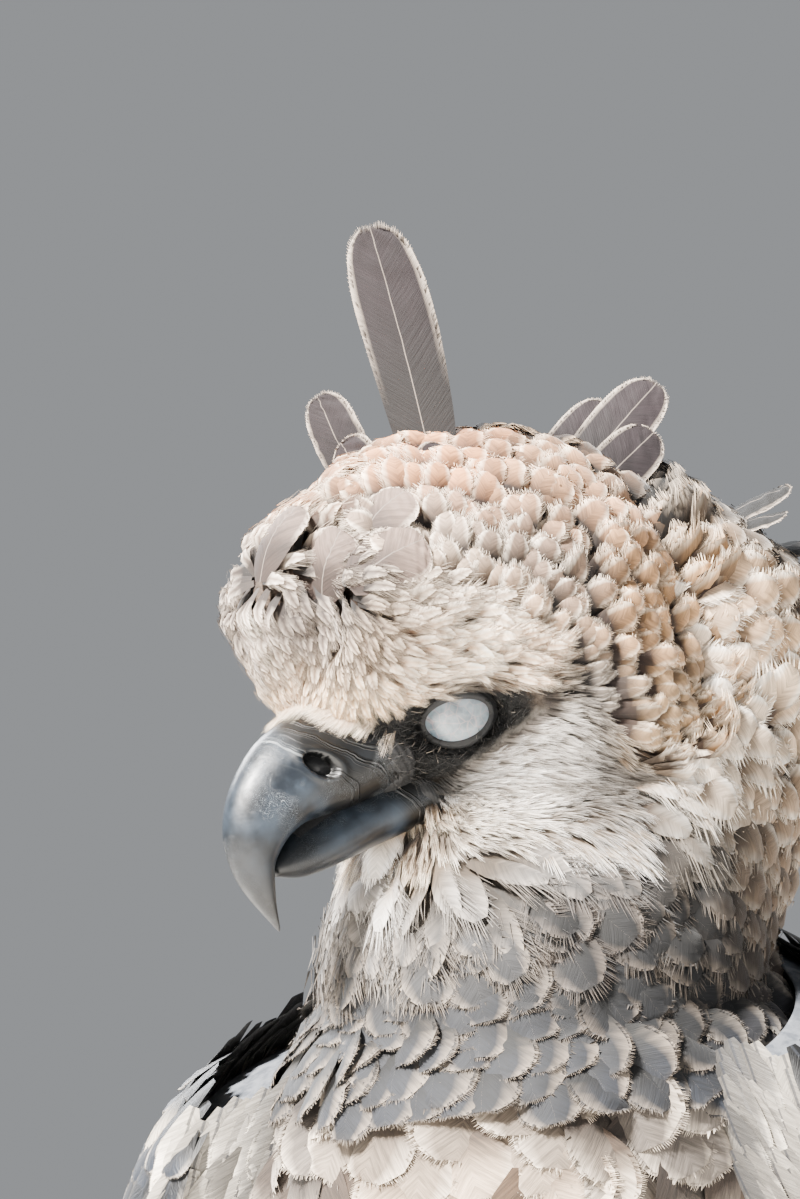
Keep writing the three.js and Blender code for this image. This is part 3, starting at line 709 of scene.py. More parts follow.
class FeatherShape:
    """One kind of feather laid flat: points by how far across and along, and its triangles."""

    def __init__(self, cut: Cut) -> None:
        """Lays out the vane's grid and the teeth of its fringe.

        Args:
            cut: The kind of feather.
        """
        rows, columns, teeth = cut.value.rows, cut.value.columns, cut.value.teeth
        edge_at = through(cut.value.outline)
        y = 1 - (1 - np.arange(rows + 1) / rows) ** 1.35
        share = np.linspace(-1, 1, columns + 1)
        grid_y, grid_s = np.meshgrid(y, share, indexing="ij")
        self.x = [(grid_s * edge_at(grid_y)).ravel()]
        self.y = [grid_y.ravel()]
        self.edge = [np.abs(grid_s).ravel()]
        corner = np.arange(grid_y.size).reshape(grid_y.shape)
        a, b, c, d = corner[:-1, :-1], corner[1:, :-1], corner[1:, 1:], corner[:-1, 1:]
        faces = [np.stack([a, d, c], -1).reshape(-1, 3), np.stack([a, c, b], -1).reshape(-1, 3)]
        self.tooth = [np.full(grid_y.size, -1)]
        self.tips = np.zeros((0, 2))
        if cut.value.strands:
            self.x, self.y, self.edge, self.tooth = [], [], [], []
            faces, teeth = [self._strands(cut.value)], cut.value.strands
        elif teeth:
            faces.append(self._fringe(cut.value, edge_at, grid_y.size))
        self.x, self.y, self.edge = (np.concatenate(part) for part in (self.x, self.y, self.edge))
        self.tooth = np.concatenate(self.tooth)
        self.faces = np.vstack(faces)
        self.teeth = teeth
        self.rise = np.zeros((len(self.x), 2))
        self.rise[self.tooth >= 0] = self.tips

    def _strands(self, pattern: Pattern) -> np.ndarray:
        """Lays out loose hairs that fan out from the root.

        Args:
            pattern: How the feather is cut.

        Returns:
            Their triangles, three for each hair.
        """
        count = pattern.strands
        number = np.arange(count)
        share = (number + 0.5) / count * 2 - 1
        root_x, root_y = 0.4 * share, 0.34 * (number * 0.618 % 1)
        gone_x, gone_y = 0.55 * share, 1.0 - 0.16 * share**2 - root_y
        part = np.array([0.0, 0.0, 0.5, 0.5, 1.0])
        wide = np.array([-1.0, 1.0, -0.8, 0.8, 0.0]) * pattern.tooth
        self.x.append((root_x[:, None] + wide).ravel())
        self.y.append(np.repeat(root_y, 5))
        self.edge.append(np.tile([0.2, 0.2, 0.6, 0.6, 1.0], count))
        self.tooth.append(np.repeat(number, 5))
        self.tips = np.stack([gone_x[:, None] * part**1.4, gone_y[:, None] * part], -1).reshape(-1, 2)
        first = 5 * number[:, None]
        return np.vstack([first + corners for corners in ([0, 1, 3], [0, 3, 2], [2, 3, 4])])

    def _fringe(self, pattern: Pattern, edge_at: Callable[[np.ndarray], np.ndarray],
                start: int) -> np.ndarray:
        """Adds the teeth of the fringe, one triangle each, from the vane's edge outwards.

        Args:
            pattern: How the feather is cut.
            edge_at: Half the vane's width by how far along.
            start: The number of points before them.

        Returns:
            Their triangles.
        """
        teeth, barb = pattern.teeth, pattern.barb
        aspect = 2.3
        fine = np.linspace(0.42 if teeth > 50 else 0.22, 1, 160)
        left = np.stack([-edge_at(fine), fine * aspect], -1)
        path = np.vstack([left, left[::-1] * [-1, 1]])
        gone = np.concatenate([[0], np.cumsum(np.linalg.norm(np.diff(path, axis=0), axis=1))])
        middle = (np.arange(teeth) + 0.5) / teeth * gone[-1]
        half = pattern.tooth * gone[-1] / teeth
        at = [np.stack([np.interp(m, gone, path[:, k]) for k in range(2)], -1)
              for m in (middle - half, middle + half, middle)]
        inwards = 0.9
        base_a, base_b, centre = at
        slant = np.stack([np.sign(centre[:, 0]) * 0.8 * np.minimum(1, np.abs(centre[:, 0])),
                          np.full(teeth, 1.0)], -1)
        slant = unit(slant) * barb
        flat = np.stack([base_a * [inwards, 0.99], base_b * [inwards, 0.99], centre], 1).reshape(-1, 2)
        number = np.repeat(np.arange(teeth), 3)
        is_tip = np.tile([False, False, True], teeth)
        self.x.append(flat[:, 0])
        self.y.append(flat[:, 1] / aspect)
        self.edge.append(np.where(is_tip, 1.0, 0.84))
        self.tooth.append(number)
        self.tips = np.zeros((3 * teeth, 2))
        self.tips[is_tip] = slant / [1, aspect]
        first = start + 3 * np.arange(teeth)
        return np.stack([first, first + 1, first + 2], -1)


@dataclass
class Plumes:
    """Many feathers of one kind: a spine of points and directions for each, its size and its colours."""

    cut: Cut
    spine: np.ndarray
    normal: np.ndarray
    half: np.ndarray
    # root: each feather's tone at its base, painted shade under the feathers that overlap it
    root: np.ndarray
    main: np.ndarray
    edge: np.ndarray
    place: np.ndarray
    cup: float = 0.22
    messy: float = 0.18
    roll: np.ndarray | None = None
    streak: np.ndarray | float = 0.5
    bars: float = 0.0

    def mesh(self, draw: np.random.Generator) -> Mesh:
        """All the feathers as one mesh.

        Args:
            draw: The source of random numbers.

        Returns:
            The mesh with its colours, vane map and bake map.
        """
        shape = FeatherShape(self.cut)
        count, stations = self.spine.shape[:2]
        tangent = unit(np.gradient(self.spine, axis=1))
        across = unit(np.cross(self.normal, tangent))
        out = unit(np.cross(tangent, across))
        across = across * np.sign((out * self.normal).sum(-1, keepdims=True))
        out = out * np.sign((out * self.normal).sum(-1, keepdims=True))
        roll = draw.normal(0, self.messy, count) if self.roll is None else self.roll
        turn = np.broadcast_to(roll[:, None, None], (count, stations, 1))
        across, out = across * np.cos(turn) + out * np.sin(turn), out * np.cos(turn) - across * np.sin(turn)
        x = np.broadcast_to(shape.x, (count, len(shape.x))).copy()
        y = np.broadcast_to(shape.y, x.shape).copy()
        if shape.teeth:
            size = (count, shape.teeth + 1)
            turn = np.arange(shape.teeth + 1) * draw.uniform(0.25, 0.7, (count, 1))
            turn = turn + draw.uniform(0, 6.3, (count, 1))
            long = (draw.uniform(0.65, 1.1, size) + 0.18 * np.sin(turn))[:, shape.tooth]
            sway = (draw.normal(0, 0.08, size) + 0.12 * np.cos(turn))[:, shape.tooth]
            x += shape.rise[:, 0] * long + sway * np.abs(shape.rise[:, 1])
            y += shape.rise[:, 1] * long
        where = np.clip(y / REACH, 0, 1) * (stations - 1)
        low = np.minimum(where.astype(int), stations - 2)
        part = (where - low)[..., None]
        pick = np.arange(count)[:, None]
        base = self.spine[pick, low] * (1 - part) + self.spine[pick, low + 1] * part
        side = across[pick, low] * (1 - part) + across[pick, low + 1] * part
        up = out[pick, low] * (1 - part) + out[pick, low + 1] * part
        half = self.half[:, None]
        droop = -self.cup * x * x * half
        ripple = draw.normal(0, 0.02, x.shape) * half * smooth(y, 0.2, 0.8)
        if self.cut.value.fluff:
            loose = draw.normal(0, self.cut.value.fluff, (count, shape.teeth + 1))
            loose[:, -1] = 0.0
            ripple = ripple + loose[:, shape.tooth] * y * half
        points = base + side * (x * half)[..., None] + up * (droop + ripple)[..., None]
        length = np.linalg.norm(self.spine[:, -1] - self.spine[:, 0], axis=-1) / REACH
        vane = np.stack([x * half, y * length[:, None]], -1) / 10
        bake = self.place[:, None, :] + np.stack([x * 0.4, y - 0.5], -1) * PATCH * 0.9
        numbers = shape.faces[None] + (np.arange(count) * len(shape.x))[:, None, None]
        tint = self._colours(shape, x, y, draw)
        return Mesh(points.reshape(-1, 3), numbers.reshape(-1, 3), tint.reshape(-1, 4),
                    vane.reshape(-1, 2), bake.reshape(-1, 2))

    def part(self, chosen: np.ndarray) -> "Plumes":
        """Some of the feathers, by their numbers.

        Args:
            chosen: Their numbers.

        Returns:
            The chosen feathers.
        """
        carried = ("spine", "normal", "half", "root", "main", "edge", "place")
        streak = self.streak[chosen] if isinstance(self.streak, np.ndarray) else self.streak
        cut_down = {name: getattr(self, name)[chosen] for name in carried}
        return replace(self, **cut_down, streak=streak)

    def _colours(self, shape: FeatherShape, x: np.ndarray, y: np.ndarray,
                 draw: np.random.Generator) -> np.ndarray:
        """The colour at each point of each feather.

        Args:
            shape: The feathers' shape.
            x: How far across each point is.
            y: How far along each point is.
            draw: The source of random numbers.

        Returns:
            Red, green, blue and how strongly the barbs show.
        """
        count = len(x)
        root, main, edge = (part[:, None, :] for part in (self.root, self.main, self.edge))
        # Painted shade: each feather darkens towards its root tone, where the feathers over it would shade
        # it
        colour = mix(root, main, smooth(y, 0.38, 0.84)[..., None])
        pale = np.maximum(smooth(shape.edge, 0.84, 1.04) * smooth(y, 0.4, 0.85), smooth(y, 0.98, 1.14))
        near_shaft = 0.2 * bell(x / 0.35) * smooth(y, 0.95, 0.4)
        colour = mix(mix(colour, root, near_shaft[..., None]), edge, pale[..., None])
        if self.bars:
            band = smooth(np.sin(y * self.bars * 2 * np.pi + 0.5 * x * x + 0.9), 0.2, 0.7)
            band = band * smooth(y, 0.1, 0.2)
            colour = mix(colour, root * 0.6, (0.75 * band * (1 - smooth(y, 0.9, 0.97)))[..., None])
        light = np.exp(draw.normal(0, 0.09, (count, 1, 1)) + draw.normal(0, 0.03, x.shape)[..., None])
        if self.cut.value.strands:
            single = np.exp(draw.normal(0, 0.12, (count, shape.teeth + 1)))
            light = light * single[:, shape.tooth][..., None]
        streak = np.broadcast_to(np.asarray(self.streak, float).reshape(-1, 1), x.shape)
        return np.concatenate([np.clip(colour * light, 0, 1), streak[..., None]], -1)


@dataclass(frozen=True)
class Mark:
    """How the feathers grow and are coloured near one place of the coat, in millimetres."""

    place: tuple[float, float, float]
    size: float
    length: float
    wide: float
    lift: float
    # root is painted shade under overlapping feathers; main and edge are the feather's own colours
    root: str
    main: str
    edge: str
    streak: float = 0.5
    fall: float = 0.0


class Marking:
    """The whole of the markings, blended from the marks near each point, alike on both sides."""

    numbers = ("length", "wide", "lift", "streak", "fall")

    def __init__(self, marks: Sequence[Mark]) -> None:
        """Keeps the marks as tables.

        Args:
            marks: The marks.
        """
        self.places = np.array([mark.place for mark in marks], float)
        self.sizes = np.array([mark.size for mark in marks], float)
        rows = [[getattr(mark, name) for name in self.numbers] for mark in marks]
        paints = [np.concatenate([tone(mark.root), tone(mark.main), tone(mark.edge)]) for mark in marks]
        self.table = np.hstack([np.array(rows, float), np.array(paints)])

    def at(self, local: np.ndarray, side_axis: int) -> dict[str, np.ndarray]:
        """The lengths and colours at each point.

        Args:
            local: The points, in the marks' own directions.
            side_axis: The direction that is mirrored.

        Returns:
            Each named value for each point.
        """
        folded = np.array(local, float)
        folded[:, side_axis] = np.abs(folded[:, side_axis])
        away = np.linalg.norm(folded[:, None, :] - self.places[None], axis=-1) / self.sizes
        weight = np.exp(-(away**2)) + 1e-5 / (1 + away**4)
        value = weight @ self.table / weight.sum(1, keepdims=True)
        found = {name: value[:, k] for k, name in enumerate(self.numbers)}
        for k, name in enumerate(("root", "main", "edge")):
            first = len(self.numbers) + 3 * k
            found[name] = value[:, first : first + 3]
        return found


class Lie:
    """The way the feathers of head and throat lie, blended from guides, alike on both sides."""

    guides = (
        ((36, 12, 34), 14, (0.41, 0.10, -0.90)), ((38, 4, 22), 10, (0.28, -0.1, -0.9)),
        ((29, 14, 12), 9, (0.16, 0.0, -0.98)), ((31, 20, 44), 9, (0.0, 0.5, -0.6)),
        ((17, 26, 47), 10, (-0.68, 0.6, 0.1)), ((4, 37, 37), 12, (-0.8, 0.5, -0.17)),
        ((22, 26, 8), 7, (-0.45, 0.5, -0.7)), ((10, 36, 13), 10, (-0.78, 0.55, -0.3)),
        ((-10, 44, 6), 9, (-0.95, 0.28, -0.14)), ((20, 0, 55), 12, (-0.7, 0.0, 0.5)),
        ((0, 2, 62), 14, (-1.0, 0.1, 0.1)), ((-21, 21, 58), 14, (-0.75, 0.5, -0.4)),
        ((-45, 36, 36), 16, (-0.6, 0.4, -0.7)), ((-25, 48, 22), 12, (-0.65, 0.24, -0.7)),
        ((-41, 50, 4), 12, (-0.55, -0.11, -0.83)), ((-18, 48, -3), 8, (-0.99, 0.13, -0.10)),
        ((-27, 50, -16), 9, (-0.79, -0.18, -0.59)), ((0, 31, -22), 9, (-0.9, 0.4, -0.05)),
        ((-10, 37, -34), 10, (-0.93, 0.02, -0.38)), ((-21, 45, -41), 8, (-0.72, -0.37, -0.58)),
        ((-43, 51, -23), 12, (-0.45, -0.42, -0.79)), ((12, 18, -26), 8, (-0.8, 0.5, -0.35)),
        ((11, 30, -42), 9, (-0.79, 0.01, -0.61)), ((-15, 54, -58), 12, (-0.5, 0.25, -0.8)),
        ((20, 8, -42), 10, (-0.3, 0.0, -0.9)), ((15, 8, -52), 14, (0.38, 0.0, -0.92)),
        ((-10, 25, -68), 18, (0.33, 0.0, -0.94)), ((-75, 0, 40), 20, (-0.6, 0.0, -0.8)),
    )

    def __init__(self, head: Head) -> None:
        """Keeps the guides as tables.

        Args:
            head: The head.
        """
        self.head = head
        self.places = np.array([place for place, size, toward in self.guides], float)
        self.sizes = np.array([size for place, size, toward in self.guides], float)
        self.toward = np.array([toward for place, size, toward in self.guides], float)
        self.face = np.array([10.0, 16.0, -8.0])

    def in_rows(self, points: np.ndarray, apart: float, share: float) -> np.ndarray:
        """Whether points lie on the rows that ring the face.

        Args:
            points: The points, in the bird's frame.
            apart: How far apart the rows are.
            share: The share of that distance that a row's roots take up.

        Returns:
            One truth value for each point.
        """
        local = self.head.local(points)
        folded = np.stack([local[:, 0], np.abs(local[:, 1]), local[:, 2]], -1)
        away = np.linalg.norm(folded - self.face, axis=-1)
        return (away / apart + 0.22 * mottle(points, 24.0, 11)) % 1 < share

    def on(self, form: Form, outwards: bool = False) -> Callable[[np.ndarray, np.ndarray], np.ndarray]:
        """The turn off straight along a form, in degrees, as a function of a place on it.

        Args:
            form: The form that carries the feathers.
            outwards: Whether they point away from the face, as in the ruff.

        Returns:
            The function of the angle and how far along.
        """
        def turned(angle: np.ndarray, along: np.ndarray) -> np.ndarray:
            """The turn at each place.

            Args:
                angle: Degrees round the form.
                along: How far along the form.

            Returns:
                Degrees for each.
            """
            local = self.head.local(form.point(angle, along, 0.0))
            side = np.sign(local[:, 1] + 1e-9)
            folded = local * np.stack([np.ones(len(side)), side, np.ones(len(side))], -1)
            away = np.linalg.norm(folded[:, None] - self.places[None], axis=-1) / self.sizes
            weight = np.exp(-(away**2)) + 1e-4 / (1 + away**4)
            toward = folded - self.face if outwards else weight @ self.toward
            toward[:, 1] *= side * np.minimum(1, np.abs(local[:, 1]) / 12)
            toward = unit(toward @ self.head.axes)
            step = 0.004 * (form.span[1] - form.span[0])
            back = unit(form.point(angle, along + step, 0.0) - form.point(angle, along - step, 0.0))
            across = form.point(angle + 0.5, along, 0.0) - form.point(angle - 0.5, along, 0.0)
            across = unit(across - back * (across * back).sum(-1, keepdims=True))
            return np.degrees(np.arctan2((toward * across).sum(-1), (toward * back).sum(-1)))

        return turned


# Placing feathers on a form
def scattered(form: Form, spacing: Callable[[np.ndarray], np.ndarray], count: int,
              draw: np.random.Generator, keep: Test) -> tuple[np.ndarray, np.ndarray]:
    """Roots spread over a form, as far apart as asked.

    Args:
        form: The form they grow from.
        spacing: How far apart roots are near each point.
        count: How many places are tried.
        draw: The source of random numbers.
        keep: Says which places can carry a feather.

    Returns:
        The angle and how far along of each root.
    """
    low, high = form.span
    angle = draw.uniform(0, 360, 3 * count)
    along = draw.uniform(low, high, 3 * count)
    wide, long = form.metric(angle, along)
    area = wide * long
    chosen = draw.uniform(0, np.quantile(area, 0.98), len(area)) < area
    angle, along = angle[chosen], along[chosen]
    points = form.point(angle, along, 0.0)
    fine = keep(points)
    angle, along, points = angle[fine], along[fine], points[fine]
    gap = spacing(points)
    cell = float(gap.max())
    cells: dict[tuple[int, int, int], list[int]] = {}
    kept: list[int] = []
    keys = np.floor(points / cell).astype(int)
    around = [(i, j, k) for i in (-1, 0, 1) for j in (-1, 0, 1) for k in (-1, 0, 1)]
    place = points.tolist()
    for n, (kx, ky, kz) in enumerate(keys.tolist()):
        px, py, pz = place[n]
        limit = gap[n] ** 2
        near = False
        for i, j, k in around:
            for m in cells.get((kx + i, ky + j, kz + k), ()):
                qx, qy, qz = place[m]
                if (px - qx) ** 2 + (py - qy) ** 2 + (pz - qz) ** 2 < limit:
                    near = True
                    break
            if near:
                break
        if not near:
            cells.setdefault((kx, ky, kz), []).append(n)
            kept.append(n)
    order = np.array(kept, int)
    return angle[order], along[order]


def spines(form: Form, roots: tuple[np.ndarray, np.ndarray], length: np.ndarray, lift: np.ndarray,
           heading: np.ndarray, fall: np.ndarray,
           sink: float | np.ndarray = 1.5) -> tuple[np.ndarray, np.ndarray]:
    """The middle lines of feathers that lie over a form.

    Args:
        form: The form they grow from.
        roots: Where each root is round and along the form.
        length: How long each feather is.
        lift: How high each tip stands over the form.
        heading: Degrees that each turns from straight along the form.
        fall: How far each hangs straight down instead of lying on the form, from 0 to 1.
        sink: How deep the roots are.

    Returns:
        The lines' points and the form's outward directions there.
    """
    stations = 8
    curl = 0.35  # how much of the lift the tips lose again
    turn = np.radians(heading)
    step = length * REACH / (stations - 1)
    low, high = form.span
    margin = 0.004 * (high - low)
    angle, along = roots
    places = [(angle, along)]
    for _ in range(stations - 1):
        wide, long = form.metric(angle, along)
        angle = angle + np.clip(np.sin(turn) * step / wide, -20, 20)
        along = np.clip(along + np.cos(turn) * step / long, low + margin, high - margin)
        places.append((angle, along))
    angles, alongs = (np.stack([place[k] for place in places], 1) for k in range(2))
    part = np.linspace(0, REACH, stations)
    risen = (lift[:, None] + sink) * smooth(part, -0.1, 0.85)
    height = -sink + risen - curl * lift[:, None] * smooth(part, 0.7, 1.3)
    points, normal = form.point(angles, alongs, height), form.normal(angles, alongs)
    down = unit(0.4 * normal[:, 0] * [1, 1, 0] + [0, 0, -1])
    hung = points[:, :1] + down[:, None] * (length[:, None] * part)[..., None]
    hung = hung + normal[:, :1] * lift[:, None, None] * 0.5
    hung = hung - normal[:, :1] * (0.5 * lift[:, None] * (1 - smooth(part, 0, 0.4)))[..., None]
    share = fall[:, None, None]
    return mix(points, hung, share), unit(mix(normal, np.broadcast_to(normal[:, :1], normal.shape), share))


def straight(angle: np.ndarray, along: np.ndarray) -> np.ndarray:
    """No turn: the feathers lie straight along their form."""
    return np.zeros(len(angle))


@dataclass
class Tract:
    """The feathers that one form carries."""

    form: Form
    marking: Marking
    local: Callable[[np.ndarray, np.ndarray, np.ndarray], np.ndarray]
    side_axis: int
    cut: Cut
    spread: float = 0.42
    tries: int = 16000
    mess: float = 9.0
    cup: float = 0.22
    streak: float = 1.0
    bars: float = 0.0
    patchy: float = 0.4
    flat: float = 1.0  # the share of the marks' lift that is used
    over: Sequence[tuple["Solid", float]] = ()  # forms that the feathers drape over, and how high
    heading: Callable[[np.ndarray, np.ndarray], np.ndarray] = straight

    def look_up(self, points: np.ndarray, angle: np.ndarray, along: np.ndarray) -> dict[str, np.ndarray]:
        """The markings at points of the form."""
        return self.marking.at(self.local(points, angle, along), self.side_axis)

    def grow(self, draw: np.random.Generator, keep: Test) -> Plumes:
        """Lays out the feathers.

        Args:
            draw: The source of random numbers.
            keep: Says which places can carry a feather.

        Returns:
            The feathers, not yet a mesh.
        """
        angle, along = self._scatter(draw, keep)
        fine = keep(self.form.point(angle, along, 0.0))
        angle, along = angle[fine], along[fine]
        points = self.form.point(angle, along, 0.0)
        found = self.look_up(points, angle, along)
        count = len(angle)
        length = found["length"] * draw.uniform(0.82, 1.18, count)
        lift = found["lift"] * self.flat * draw.uniform(0.6, 1.4, count)
        turn = self.heading(angle, along) + draw.normal(0, self.mess, count)
        spine, normal = spines(self.form, (angle, along), length, lift, turn, np.clip(found["fall"], 0, 1))
        for solid, gap in self.over:
            spine = solid.draped(spine, gap)
        patches = 0.5 * mottle(points, 9.0, 5) + 0.35 * mottle(points, 26.0, 6)
        patches = patches + draw.normal(0, 0.45, count)
        blend = np.clip(self.patchy * patches, -0.25, 0.85)[:, None]
        edge = mix(found["edge"], found["main"], np.clip(0.8 * blend, 0, 1))
        main = np.maximum(mix(found["main"], found["root"], blend), 0)
        wide = found["wide"] * draw.uniform(0.85, 1.15, count)
        return Plumes(self.cut, spine, normal, wide, found["root"], main, edge,
                      self.form.bake_place(angle, along), cup=self.cup,
                      streak=found["streak"] * self.streak, bars=self.bars)

    def _scatter(self, draw: np.random.Generator, keep: Test) -> tuple[np.ndarray, np.ndarray]:
        """Roots spread by the feathers' own sizes.

        Args:
            draw: The source of random numbers.
            keep: Says which places can carry a feather.

        Returns:
            The angle and how far along of each root.
        """
        low, high = self.form.span
        grid_angle, grid_along = np.meshgrid(np.arange(0, 360, 4.0), np.linspace(low, high, 91),
                                             indexing="ij")
        at = self.form.point(grid_angle, grid_along, 0.0)
        values = self.look_up(at.reshape(-1, 3), grid_angle.ravel(), grid_along.ravel())
        gap = np.sqrt(values["length"] * values["wide"] * 2) * self.spread
        near = Nearest(at.reshape(-1, 3))

        def spacing(points: np.ndarray) -> np.ndarray:
            """How far apart roots are near each point."""
            return gap[near.to(points)[0]]

        return scattered(self.form, spacing, self.tries, draw, keep)


class Solid:
    """A closed mesh that tells how far outside it a point lies."""

    def __init__(self, mesh: Mesh) -> None:
        """Keeps the mesh as a search tree."""
        self.tree = BVHTree.FromPolygons(mesh.points.tolist(), mesh.faces.tolist())
        self.low, self.high = mesh.points.min(0), mesh.points.max(0)

    def draped(self, spine: np.ndarray, gap: float) -> np.ndarray:
        """Feathers' middle lines pushed out until they lie on the solid.

        Args:
            spine: The lines' points, root first.
            gap: How high the tips lie over the solid.

        Returns:
            The lines' new points.
        """
        moved = spine.copy()
        low, high = self.low - gap, self.high + gap
        for feather, station in np.argwhere(((spine > low) & (spine < high)).all(-1)):
            place, normal, _, away = self.tree.find_nearest(spine[feather, station])
            need = gap * min(1.0, 0.25 + station / 5)
            apart = away if (Vector(spine[feather, station]) - place).dot(normal) > 0 else -away
            if apart < need:
                moved[feather, station] += np.array(normal) * (need - max(apart, -12.0))
        return moved

    def outside(self, points: np.ndarray, limit: float = 40.0) -> np.ndarray:
        """How far outside the solid each point lies, below zero inside it.

        Args:
            points: The points.
            limit: The greatest distance that matters.

        Returns:
            One distance for each point.
        """
        found = np.full(len(points), limit)
        for k, point in enumerate(points):
            place, normal, _, distance = self.tree.find_nearest(Vector(point), limit)
            if place is not None:
                found[k] = math.copysign(distance, (Vector(point) - place).dot(normal))
        return found


def all_of(*tests: Test) -> Test:
    """A test that is met where all of the given ones are.

    Args:
        tests: The tests.

    Returns:
        The test.
    """

    def test(points: np.ndarray) -> np.ndarray:
        """Whether each point meets them all."""
        return np.logical_and.reduce([one(points) for one in tests])

    return test


def between(points: np.ndarray, low: float, high: float) -> np.ndarray:
    """Whether each point's height lies between two limits."""
    return (points[:, 2] > low) & (points[:, 2] < high)


def clear_of(*limits: tuple[Solid, float]) -> Test:
    """A test for points that lie outside all of the given solids.

    Args:
        limits: Each solid with how far outside it a point has to be.

    Returns:
        A function from points to whether each is clear.
    """

    def test(points: np.ndarray) -> np.ndarray:
        """Whether each point is clear.

        Args:
            points: Points in the bird's frame.

        Returns:
            One truth value for each.
        """
        fine = np.ones(len(points), bool)
        for solid, least in limits:
            fine[fine] = solid.outside(points[fine]) > least
        return fine

    return test


# Finishes
class Tree:
    """A material's nodes, with short ways to add and join them."""

    def __init__(self, name: str, **sockets: float | tuple[float, ...]) -> None:
        """Makes the material.

        Args:
            name: The material's name.
            sockets: Constant values of the shader, with _ in place of spaces.
        """
        self.material = bpy.data.materials.new(name)
        self.material.use_nodes = True
        self.nodes = self.material.node_tree.nodes
        self.shader = self.nodes["Principled BSDF"]
        for label, value in sockets.items():
            self.shader.inputs[label.replace("_", " ")].default_value = value

    def node(self, kind: str, inputs: dict[str | int, object] | None = None,
             **settings: object) -> bpy.types.Node:
        """Adds a node.

        Args:
            kind: Its type, without the usual beginning.
            inputs: Values or sockets for its inputs.
            settings: Its other settings.

        Returns:
            The node.
        """
        made = self.nodes.new("ShaderNode" + kind)
        for label, value in settings.items():
            setattr(made, label, value)
        for label, value in (inputs or {}).items():
            if isinstance(value, bpy.types.NodeSocket):
                self.material.node_tree.links.new(value, made.inputs[label])
            else:
                made.inputs[label].default_value = value
        return made

    def sum(self, operation: str, *values: object) -> bpy.types.NodeSocket:
        """The result of a sum of up to three values."""
        return self.node("Math", dict(enumerate(values)), operation=operation).outputs[0]

    def noise(self, place: object, scale: float, detail: float = 3.0,
              rough: float = 0.55) -> bpy.types.NodeSocket:
        """The strength of a noise pattern at a place.

        Args:
            place: The place.
            scale: How fine it is.
            detail: How many finer layers it has.
            rough: How strong they are.

        Returns:
            The strength.
        """
        found = self.node("TexNoise", {"Vector": place, "Scale": scale, "Detail": detail,
                                       "Roughness": rough})
        return found.outputs[0]

    def span(self, value: object, low: float, high: float, first: float = 0.0,
             last: float = 1.0) -> bpy.types.NodeSocket:
        """A value moved from one range to another and kept within it."""
        inputs = {0: value, 1: low, 2: high, 3: first, 4: last}
        return self.node("MapRange", inputs, interpolation_type="SMOOTHSTEP").outputs[0]

    def blend(self, kind: str, share: object, first: object, second: object) -> bpy.types.NodeSocket:
        """Two colours mixed."""
        made = self.node("Mix", {0: share, 6: first, 7: second}, data_type="RGBA", blend_type=kind)
        return made.outputs[2]

    def join(self, source: bpy.types.NodeSocket, label: str) -> None:
        """Joins a socket to the shader."""
        self.material.node_tree.links.new(source, self.shader.inputs[label])

    def bump(self, height: object, distance: float, strength: float = 1.0) -> None:
        """Gives the shader a bump."""
        made = self.node("Bump", {"Height": height, "Distance": distance, "Strength": strength})
        self.join(made.outputs[0], "Normal")


def paint(code: str) -> tuple[float, float, float, float]:
    """A material's colour from six hexadecimal digits."""
    return (*tone(code, 2.2), 1.0)


@dataclass(frozen=True)
class VaneFinish:
    """A feather's vane, tinted by its own colour, with barbs that run out from a shaft."""

    name: str
    roughness: float = 0.75
    sheen: float = 0.15
    barbs: float = 9.0  # for each centimetre
    slant: float = 0.95
    shaft: float = 0.03
    shaft_tone: str = "8a7f76"
    depth: float = 0.0004

    def build(self) -> bpy.types.Material:
        """Makes the material.

        Returns:
            The material.
        """
        tree = Tree(self.name, Roughness=self.roughness, Sheen_Weight=self.sheen, Sheen_Roughness=0.4,
                    Specular_IOR_Level=0.3)
        tint = tree.node("Attribute", attribute_name="Tint")
        vane = tree.node("SeparateXYZ", {0: tree.node("UVMap", uv_map=VANE_MAP).outputs[0]})
        home = tree.node("SeparateXYZ", {0: tree.node("UVMap", uv_map=BAKE_MAP).outputs[0]})
        apart = tree.sum("ABSOLUTE", vane.outputs[0])
        run = tree.sum("MULTIPLY_ADD", apart, -self.slant, vane.outputs[1])
        line = tree.sum("MULTIPLY", run, self.barbs)
        drift = tree.sum("MULTIPLY_ADD", home.outputs[0], 90.0,
                         tree.sum("MULTIPLY", home.outputs[1], 170.0))
        place = tree.node("CombineXYZ", {0: line, 1: vane.outputs[0], 2: drift}).outputs[0]
        coarse = tree.noise(place, 0.8, 2.0)
        fine = tree.noise(place, 2.6, 2.0, 0.7)
        both = tree.sum("MULTIPLY_ADD", coarse, 0.6, tree.sum("MULTIPLY", fine, 0.4))
        shade = tree.span(both, 0.34, 0.66, 0.42, 1.3)
        grey = tree.node("CombineColor", {0: shade, 1: shade, 2: shade}).outputs[0]
        colour = tree.blend("MULTIPLY", tint.outputs["Alpha"], tint.outputs["Color"], grey)
        spine = tree.span(apart, self.shaft * 0.5, self.shaft, 0.75, 0.0)
        colour = tree.blend("MIX", spine, colour, paint(self.shaft_tone))
        tree.join(colour, "Base Color")
        tree.bump(both, self.depth, 0.7)
        return tree.material


